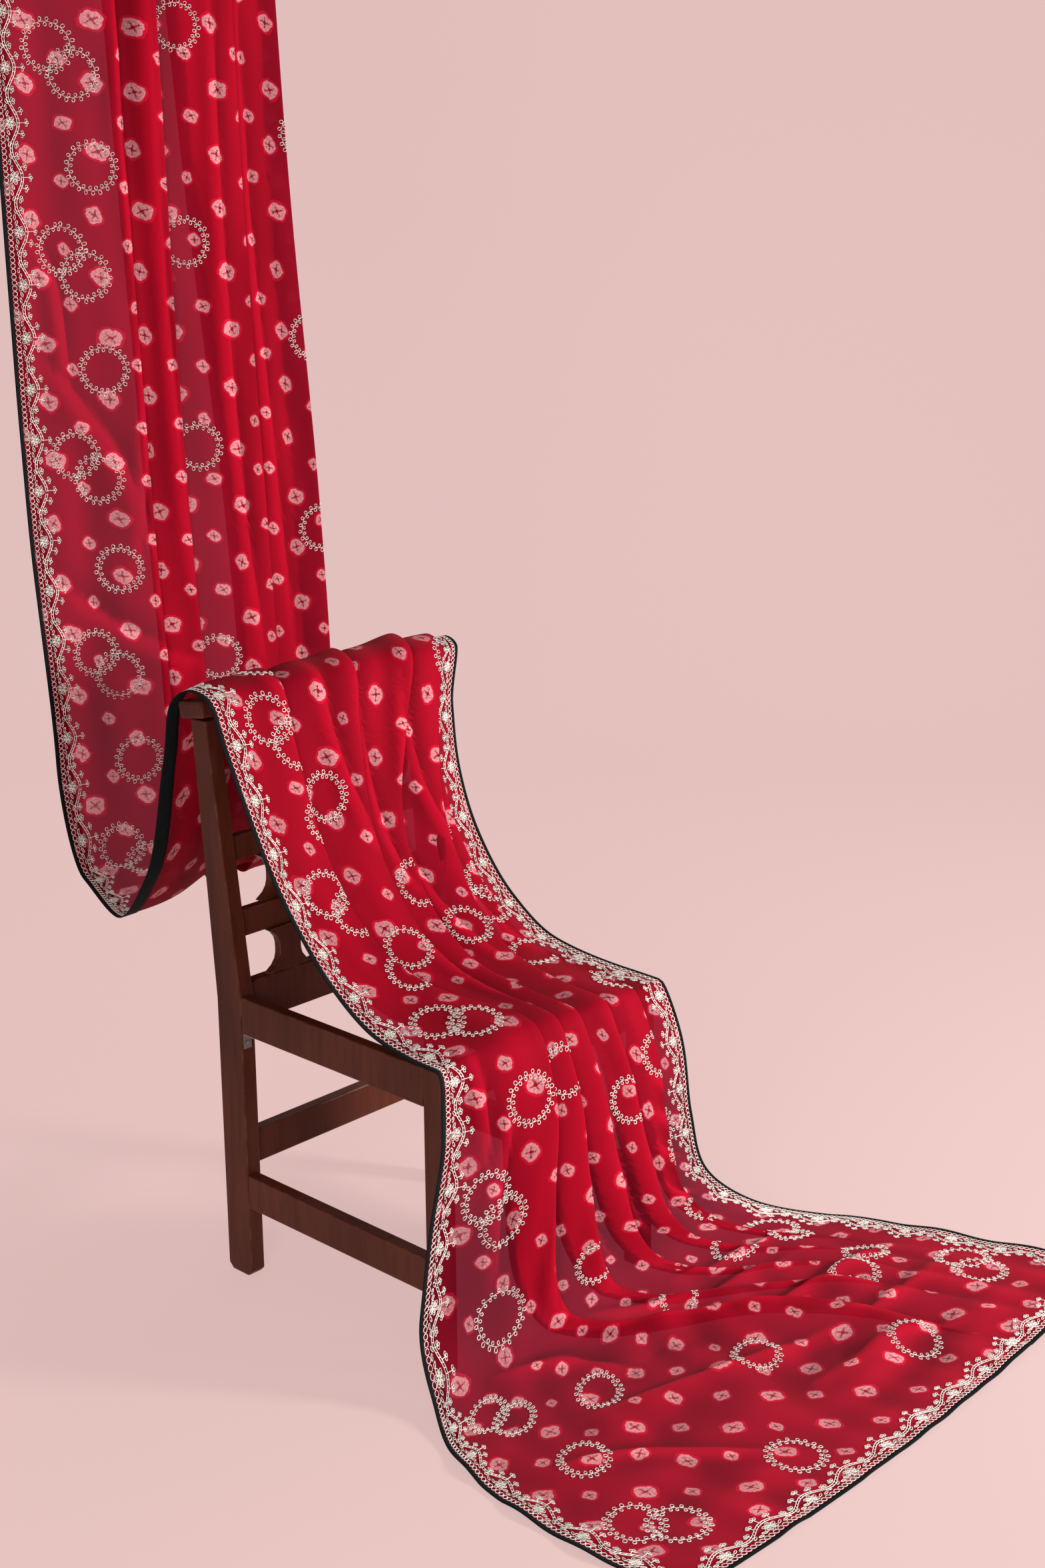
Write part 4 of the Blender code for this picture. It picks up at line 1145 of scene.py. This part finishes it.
def cord_curve(name: str, cords: Sequence[Cord]) -> bpy.types.Object:
    """Curve object with one straight-pointed spline for each cord.

    Args:
        name: The object's name.
        cords: Each cord's points, its radius, and whether it joins its own start.

    Returns:
        The object.
    """
    data = bpy.data.curves.new(name, "CURVE")
    data.dimensions = "3D"
    data.twist_mode = "Z_UP"
    for path, radius, closed in cords:
        spline = data.splines.new("POLY")
        spline.points.add(len(path) - 1)
        spline.points.foreach_set("co", np.concatenate([path, np.ones((len(path), 1))], 1).ravel())
        spline.points.foreach_set("radius", np.full(len(path), radius))
        spline.use_cyclic_u = closed
    made = bpy.data.objects.new(name, data)
    bpy.context.scene.collection.objects.link(made)
    return made


@dataclass
class ThreadWork:
    """Cords stitched on the cloth's face: splines with a three-sided section, made one mesh."""

    drape: Drape
    name: str
    height: float = 0.0007
    cords: List[Cord] = field(default_factory=list)

    def lay(self, paths: Array, radius: float, closed: bool) -> None:
        """Lay cords along paths on the cloth.

        Args:
            paths: Many paths with the same number of points, as (path, point, (u, v)).
            radius: The cord's half thickness.
            closed: Whether each path joins its own start.
        """
        centre, normal = self.drape.at(np.clip(paths[..., 0], 0.0, CLOTH_WIDTH), paths[..., 1])
        self.cords.extend((path, radius, closed) for path in centre + self.height * normal)

    def build(self, material: bpy.types.Material) -> bpy.types.Object:
        """Make the piece.

        Args:
            material: The thread's material.

        Returns:
            The object.
        """
        corners = np.array([(math.cos(a), math.sin(a), 0.0) for a in np.radians((90.0, 210.0, 330.0))])
        section = cord_curve(self.name + "_section", [(corners, 1.0, True)])
        cords = cord_curve(self.name + "_cords", self.cords)
        cords.data.bevel_mode = "OBJECT"
        cords.data.bevel_object = section
        cords.data.use_fill_caps = True
        evaluated = cords.evaluated_get(bpy.context.evaluated_depsgraph_get())
        mesh = bpy.data.meshes.new_from_object(evaluated)
        mesh.name = self.name
        for spare in (cords, section):
            data = spare.data
            bpy.data.objects.remove(spare)
            bpy.data.curves.remove(data)
        made = linked(self.name, mesh, material)
        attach(made, BODY)
        return made


@dataclass
class RingMotif:
    """A ring of thread: a thin round stem with a loop on each side at every step."""

    radius: float = 0.0345
    pairs: int = 21
    loop: float = 0.0030
    away: float = 0.0037
    cord: float = 0.00060
    inner_loops: float = 0.86

    def stitch(self, work: ThreadWork, centres: Array) -> None:
        """Stitch rings at many centres.

        Args:
            work: The thread work that takes them.
            centres: Their centres, as (ring, (u, v)).
        """
        count = len(centres)
        rng = np.random.default_rng(count)
        narrow = work.drape.narrowing(centres, self.radius)
        squash = 1.0 + rng.normal(0.0, 0.02, count)
        stems = placed(oval(self.radius, 40), centres, np.zeros(count), squash)
        work.lay(self.narrowed(stems, centres[:, 0], narrow), 0.6 * self.cord, True)
        step = FULL_TURN * np.arange(self.pairs) / self.pairs
        for side in (1.0, -1.0):
            angle = step[None] + 0.06 * side + rng.normal(0.0, 0.02, (count, self.pairs))
            reach = (self.radius + side * self.away) * squash[:, None] + rng.normal(0.0, 0.0003, angle.shape)
            middle = centres[:, None] + np.stack([reach * np.cos(angle), reach * np.sin(angle)], -1)
            scale = rng.uniform(0.88, 1.08, angle.size) * (1.0 if side > 0 else self.inner_loops)
            loops = placed(oval(self.loop, 8, 0.86), middle.reshape(-1, 2), angle.ravel(), scale)
            across, less = np.repeat(centres[:, 0], self.pairs), np.repeat(narrow, self.pairs)
            work.lay(self.narrowed(loops, across, less), self.cord, True)

    @staticmethod
    def narrowed(paths: Array, across: Array, share: Array) -> Array:
        """The same paths, drawn closer to their ring's middle across the cloth."""
        middle = across[:, None]
        return np.stack([middle + share[:, None] * (paths[..., 0] - middle), paths[..., 1]], -1)


@dataclass
class BorderMotif:
    """The scalloped floral border, drawn as the way along an edge and the way into the cloth.

    `chain_line`, `flower_line` and `ladder_line` are ways into the cloth, and the border is narrowed from `fixed` on.
    `petals` gives reach and size of each round of petals, `leaves` gives the way along, the way in and the angle of
    each leaf beside a flower, and `buds` gives each bud's place in the scallop and its height.
    """

    edge: Edge
    work: ThreadWork
    pitch: float = 0.080
    narrow: float = 0.80
    fixed: float = 0.0145
    cord: float = 0.00060
    chain_step: float = 0.0084
    chain_line: float = 0.0092
    chain_loop: float = 0.0037
    flower_line: float = 0.0225
    petals: Tuple[Tuple[float, float], ...] = ((0.0060, 0.0034), (0.0052, 0.0016))
    leaf: float = 0.0042
    leaves: Tuple[Point, ...] = ((0.0140, 0.0190, 0.5), (0.0225, 0.0165, 0.2), (0.0310, 0.0190, 2.6))
    ladder_line: float = 0.0300
    ladder_swing: float = 0.0085
    ladder_half: float = 0.0021
    rungs: int = 13
    rung_half: Tuple[float, float] = (0.0006, 0.0022)
    buds: Tuple[Tuple[float, float], ...] = (
        (-0.38, 0.0035), (-0.19, 0.0068), (0.0, 0.0105), (0.19, 0.0068), (0.38, 0.0035),
    )
    bud_root: float = 0.0025
    bud_lean: float = 0.35 / 0.38
    bud_reach: float = 0.0032
    bud_loop: float = 0.0026
    bud_spread: float = 1.15

    def on_cloth(self, paths: Array) -> Array:
        """Turn paths of (along, inward) into (u, v) for this edge.

        Args:
            paths: Paths along the edge.

        Returns:
            Paths on the cloth.
        """
        along, inward = paths[..., 0], paths[..., 1]
        inward = np.where(inward > self.fixed, self.fixed + self.narrow * (inward - self.fixed), inward)
        if self.edge is Edge.LEFT:
            return np.stack([inward, along], -1)
        if self.edge is Edge.RIGHT:
            return np.stack([CLOTH_WIDTH - inward, along], -1)
        end = self.work.drape.length_at(np.clip(along, 0.0, CLOTH_WIDTH))
        return np.stack([along, end - inward], -1)

    def put(self, shape: Array, places: Array, closed: bool = True, angle: float = 0.0) -> None:
        """Lay copies of a shape along the edge.

        Args:
            shape: Its points.
            places: Where the copies go.
            closed: Whether it joins its own start.
            angle: Its turn.
        """
        count = len(places)
        paths = placed(shape, places, np.full(count, angle), np.ones(count))
        self.work.lay(self.on_cloth(paths), self.cord, closed)

    def flower(self, centres: Array, reach: float, size: float, turn: float, count: int = 6) -> None:
        """Loops set round centres, like the petals of a flower.

        Args:
            centres: Flower centres.
            reach: Distance of each petal's middle.
            size: Half a petal's width.
            turn: Angle of the first petal.
            count: Petals to a flower.
        """
        for k in range(count):
            angle = turn + FULL_TURN * k / count
            places = centres + reach * np.array([math.cos(angle), math.sin(angle)])
            self.put(oval(size * 1.45, 9, 0.62), places, angle=angle)

    def rise(self, share: Array) -> Array:
        """The ladder's way into the cloth, at shares of a scallop from its middle."""
        return self.ladder_line + self.ladder_swing * np.cos(FULL_TURN * share)

    def stitch(self, start: float, end: float) -> None:
        """Stitch the border between two distances along the edge.

        Args:
            start: Where it starts.
            end: Where it ends.
        """
        rng = np.random.default_rng(int(1000 * (start + end)) + len(self.edge.value))
        scallops = max(1, round((end - start) / self.pitch))
        pitch = (end - start) / scallops
        middles = start + pitch * (np.arange(scallops) + 0.5)
        count = round((end - start) / self.chain_step)
        chain = np.stack([np.linspace(start, end, count), np.full(count, self.chain_line)], 1)
        self.put(oval(self.chain_loop, 9, 0.92), chain)
        centres = np.stack([middles, np.full(scallops, self.flower_line)], 1) + rng.normal(0.0, 0.0008, (scallops, 2))
        for reach, size in self.petals:
            self.flower(centres, reach, size, 0.3)
        for side in (-1.0, 1.0):
            for along, inward, angle in self.leaves:
                places = centres + np.array([side * along, inward - self.flower_line])
                self.put(oval(self.leaf, 8, 0.42), places, angle=angle if side > 0 else math.pi - angle)
        self.ladder(middles, pitch)
        self.stems(middles, pitch, rng)

    def ladder(self, middles: Array, pitch: float) -> None:
        """Two cords with rungs that rise and fall once in each scallop.

        Args:
            middles: The scallops' middles along the edge.
            pitch: Their pitch.
        """
        places = np.stack([middles, 0 * middles], 1)
        share = np.linspace(-0.5, 0.5, 15)
        for side in (-self.ladder_half, self.ladder_half):
            self.put(np.stack([share * pitch, self.rise(share) + side], 1), places, False)
        for k in range(self.rungs):
            share = (k + 0.5) / self.rungs - 0.5
            middle, half = np.array([share * pitch, self.rise(share)]), np.array(self.rung_half)
            self.put(np.stack([middle - half, middle + half]), places, False)

    def stems(self, middles: Array, pitch: float, rng: np.random.Generator) -> None:
        """Buds of three loops on short stems that point into the cloth, the middle one tallest.

        Args:
            middles: The scallops' middles along the edge.
            pitch: Their pitch.
            rng: Source of the small shifts.
        """
        for share, tall in self.buds:
            lean = self.bud_lean * share
            top = np.array([lean * tall, tall])
            places = np.stack([middles + share * pitch, 0 * middles + self.rise(share) + self.bud_root], 1)
            self.put(np.stack([0.0 * top, 0.5 * top, top]), places, False)
            tips = places + top + rng.normal(0.0, 0.0004, places.shape)
            for turn in (0.0, 1.0, -1.0):
                angle = math.pi / 2 - lean + turn * self.bud_spread
                loops = tips + self.bud_reach * np.array([math.cos(angle), math.sin(angle)])
                self.put(oval(self.bud_loop, 8, 0.80), loops, angle=angle)


@dataclass
class Embroidery:
    """All the thread work: borders along three edges, and rings over the cloth.

    `doubles` are the lengths at which two rings cross near both long edges, with a single ring between each two.
    The fields named for them give their way into the cloth and their shift from there. `inner` are the places of the
    rings further in, and `corner_flower` is each corner flower's way in from both of its edges.
    """

    drape: Drape
    material: bpy.types.Material
    corner: float = 0.050
    top_gap: float = 0.006
    corner_flower: float = 0.030
    corner_petals: Tuple[Point, ...] = ((0.0085, 0.0042, 0.2), (0.0034, 0.0018, 0.5))
    double_line: float = 0.100
    double_shift: Tuple[float, float] = (0.0165, 0.020)
    single_line: float = 0.136
    single_shift: float = 0.007
    doubles: Tuple[float, ...] = (
        0.195, 0.494, 0.812, 1.133, 1.452, 1.740, 2.010, 2.270, 2.540, 2.815, 3.125, 3.440, 3.770,
    )
    inner: Tuple[Tuple[float, float], ...] = (
        (0.460, 0.143), (0.455, 0.468), (0.455, 0.793), (0.461, 1.149), (0.460, 1.470), (0.460, 1.790), (0.440, 2.080),
        (0.320, 2.363), (0.350, 2.625), (0.384, 2.952), (0.435, 3.275), (0.489, 3.639), (0.760, 0.305), (0.755, 0.630),
        (0.755, 0.955), (0.760, 1.300), (0.760, 1.620), (0.755, 1.940), (0.740, 2.230), (0.630, 2.510), (0.803, 2.590),
        (0.758, 3.027), (0.819, 3.418), (0.667, 3.801), (0.329, 3.816), (0.256, 3.515), (0.850, 3.640), (0.560, 3.450),
    )

    def borders(self) -> List[bpy.types.Object]:
        """Stitch the border, on the long edges in two pieces each.

        Returns:
            The pieces.
        """
        made = []
        for edge, u in ((Edge.LEFT, 0.0), (Edge.RIGHT, CLOTH_WIDTH)):
            cuts = np.linspace(self.top_gap, float(self.drape.length_at(u)) - self.corner, 3)
            for part in (1, 2):
                border = BorderMotif(edge, ThreadWork(self.drape, f"border_{edge.value}_{part}"))
                border.stitch(cuts[part - 1], cuts[part])
                made.append(border.work.build(self.material))
        hem = BorderMotif(Edge.HEM, ThreadWork(self.drape, "border_hem"))
        hem.stitch(self.corner, CLOTH_WIDTH - self.corner)
        for u in (self.corner_flower, CLOTH_WIDTH - self.corner_flower):
            for petals in self.corner_petals:
                hem.flower(np.array([[u, self.corner_flower]]), *petals)
        return made + [hem.work.build(self.material)]

    def rings(self) -> List[bpy.types.Object]:
        """Stitch the rings.

        Returns:
            The pieces.
        """
        inward, along = self.double_shift
        pairs = [(self.double_line + way * inward, v + way * along) for v in self.doubles for way in (-1.0, 1.0)]
        middles = [0.5 * (a + b) for a, b in zip(self.doubles, self.doubles[1:])]
        singles = [(self.single_line, middle + self.single_shift) for middle in middles]
        left = np.array(pairs + singles)
        right = np.stack([CLOTH_WIDTH - left[:, 0], left[:, 1]], 1)
        made = []
        for name, centres in (("rings_inner", np.array(self.inner)), ("rings_left", left), ("rings_right", right)):
            work = ThreadWork(self.drape, name)
            RingMotif().stitch(work, centres)
            made.append(work.build(self.material))
        return made


# ------------------------------------------------------------------ chair, stage and camera
@dataclass
class ChairFinish:
    """Puts the stain and the steel on the frame's own pieces."""

    nodes: Dict[str, bpy.types.Object]

    def dress(self) -> None:
        """Give every visible chair node its material."""
        wood, steel = wood_material(WoodFinish()), plain_material(STEEL)
        for name, node in self.nodes.items():
            if name in ("cloth", "binding"):
                continue
            material = steel if "bracket" in name else wood
            for slot in node.material_slots:
                slot.material = material
            LOG.info("%s: %s", name, material.name)


@dataclass(frozen=True)
class Lamp:
    """Soft round area light that faces a point."""

    name: str
    place: Point
    aim: Point
    size: float
    power: float
    colour: Point

    def build(self) -> None:
        """Put the lamp in the scene."""
        data = bpy.data.lights.new(self.name, "AREA")
        data.shape = "DISK"
        data.size = self.size
        data.energy = self.power
        data.color = self.colour
        light = bpy.data.objects.new(self.name, data)
        light.location = self.place
        light.rotation_euler = (Vector(self.aim) - Vector(self.place)).to_track_quat("-Z", "Y").to_euler()
        bpy.context.scene.collection.objects.link(light)


@dataclass
class Studio:
    """Camera, lights and backdrop."""

    offset: Array
    place: Point = (-1.9182, -2.3675, 1.6519)
    yaw: float = math.radians(46.740)
    pitch: float = math.radians(16.307)
    roll: float = math.radians(-0.3435)
    lens: float = 51.457
    sweep: float = 2.6
    bend: float = 1.5
    wall: float = 7.0
    reach: float = 9.0
    floor: FloorFinish = FloorFinish()
    sky: Tuple[float, ...] = (1.0, 0.96, 0.95, 1.0)
    sky_strength: float = 0.27
    lamps: Tuple[Lamp, ...] = (
        Lamp("key", (1.8, -3.0, 1.40), (0.0, -0.2, 0.5), 0.7, 182.0, (1.0, 0.98, 0.96)),
        Lamp("fill", (-3.1, -1.9, 1.5), (0.0, -0.4, 0.3), 1.4, 66.0, (1.0, 0.97, 0.95)),
        Lamp("back", (1.6, 2.2, 3.0), (0.0, 0.2, 0.8), 1.6, 30.0, (1.0, 0.97, 0.96)),
    )

    def camera(self) -> None:
        """Put up the camera that matches the photograph."""
        level = Vector((math.sin(self.yaw), math.cos(self.yaw), 0.0))
        ahead = math.cos(self.pitch) * level - math.sin(self.pitch) * Vector((0.0, 0.0, 1.0))
        side = Vector((level.y, -level.x, 0.0))
        upright = side.cross(ahead)
        right = math.cos(self.roll) * side + math.sin(self.roll) * upright
        up = math.cos(self.roll) * upright - math.sin(self.roll) * side
        data = bpy.data.cameras.new("camera")
        data.sensor_width = 36.0
        data.lens = self.lens
        data.clip_end = 60.0
        camera = bpy.data.objects.new("camera", data)
        turn = Matrix((right, up, -ahead)).transposed().to_4x4()
        camera.matrix_world = Matrix.Translation(Vector(self.place) + Vector(self.offset)) @ turn
        bpy.context.scene.collection.objects.link(camera)
        bpy.context.scene.camera = camera

    def backdrop(self) -> None:
        """Floor that sweeps up behind the object, as one smooth sheet."""
        ahead = Vector((math.sin(self.yaw), math.cos(self.yaw), 0.0))
        side = Vector((ahead.y, -ahead.x, 0.0))
        line = [(-self.reach, 0.0), (self.sweep, 0.0)]
        for a in np.radians(np.linspace(7.5, 90.0, 12)):
            line.append((self.sweep + self.bend * math.sin(a), self.bend - self.bend * math.cos(a)))
        line.append((self.sweep + self.bend, self.wall))
        points = np.array([
            [ahead * d + side * x + Vector((0.0, 0.0, z - 0.0004)) for d, z in line]
            for x in (self.reach, -self.reach)
        ])
        g = Graph(self.floor.name)
        plain = g.node("BsdfDiffuse", {"Color": self.floor.colour}).outputs[0]
        glow = g.node("Emission", {"Color": self.floor.colour}).outputs[0]
        shaped_grid("floor_sweep", points, g.finish(g.blend(self.floor.glow, plain, glow)))

    def build(self) -> None:
        """Camera, backdrop, lights and the world's even light."""
        self.camera()
        self.backdrop()
        for lamp in self.lamps:
            lamp.build()
        world = bpy.data.worlds.new("studio")
        world.use_nodes = True
        sky = world.node_tree.nodes["Background"]
        sky.inputs["Color"].default_value = self.sky
        sky.inputs["Strength"].default_value = self.sky_strength
        bpy.context.scene.world = world
        bpy.context.scene.view_settings.view_transform = "Standard"


def main() -> None:
    """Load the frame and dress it."""
    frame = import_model()
    low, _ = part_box("seat_rail_near")
    offset = np.array(low) - np.array(SEAT_RAIL_LOW)
    Studio(offset).build()
    ChairFinish(frame["nodes"]).dress()
    drape = Drape(offset)
    cloth = ClothSheet(drape).build()
    binding = Binding(drape).build()
    embroidery = Embroidery(drape, plain_material(THREAD))
    pieces = [binding] + embroidery.borders() + embroidery.rings()


if __name__ == "__main__":
    main()
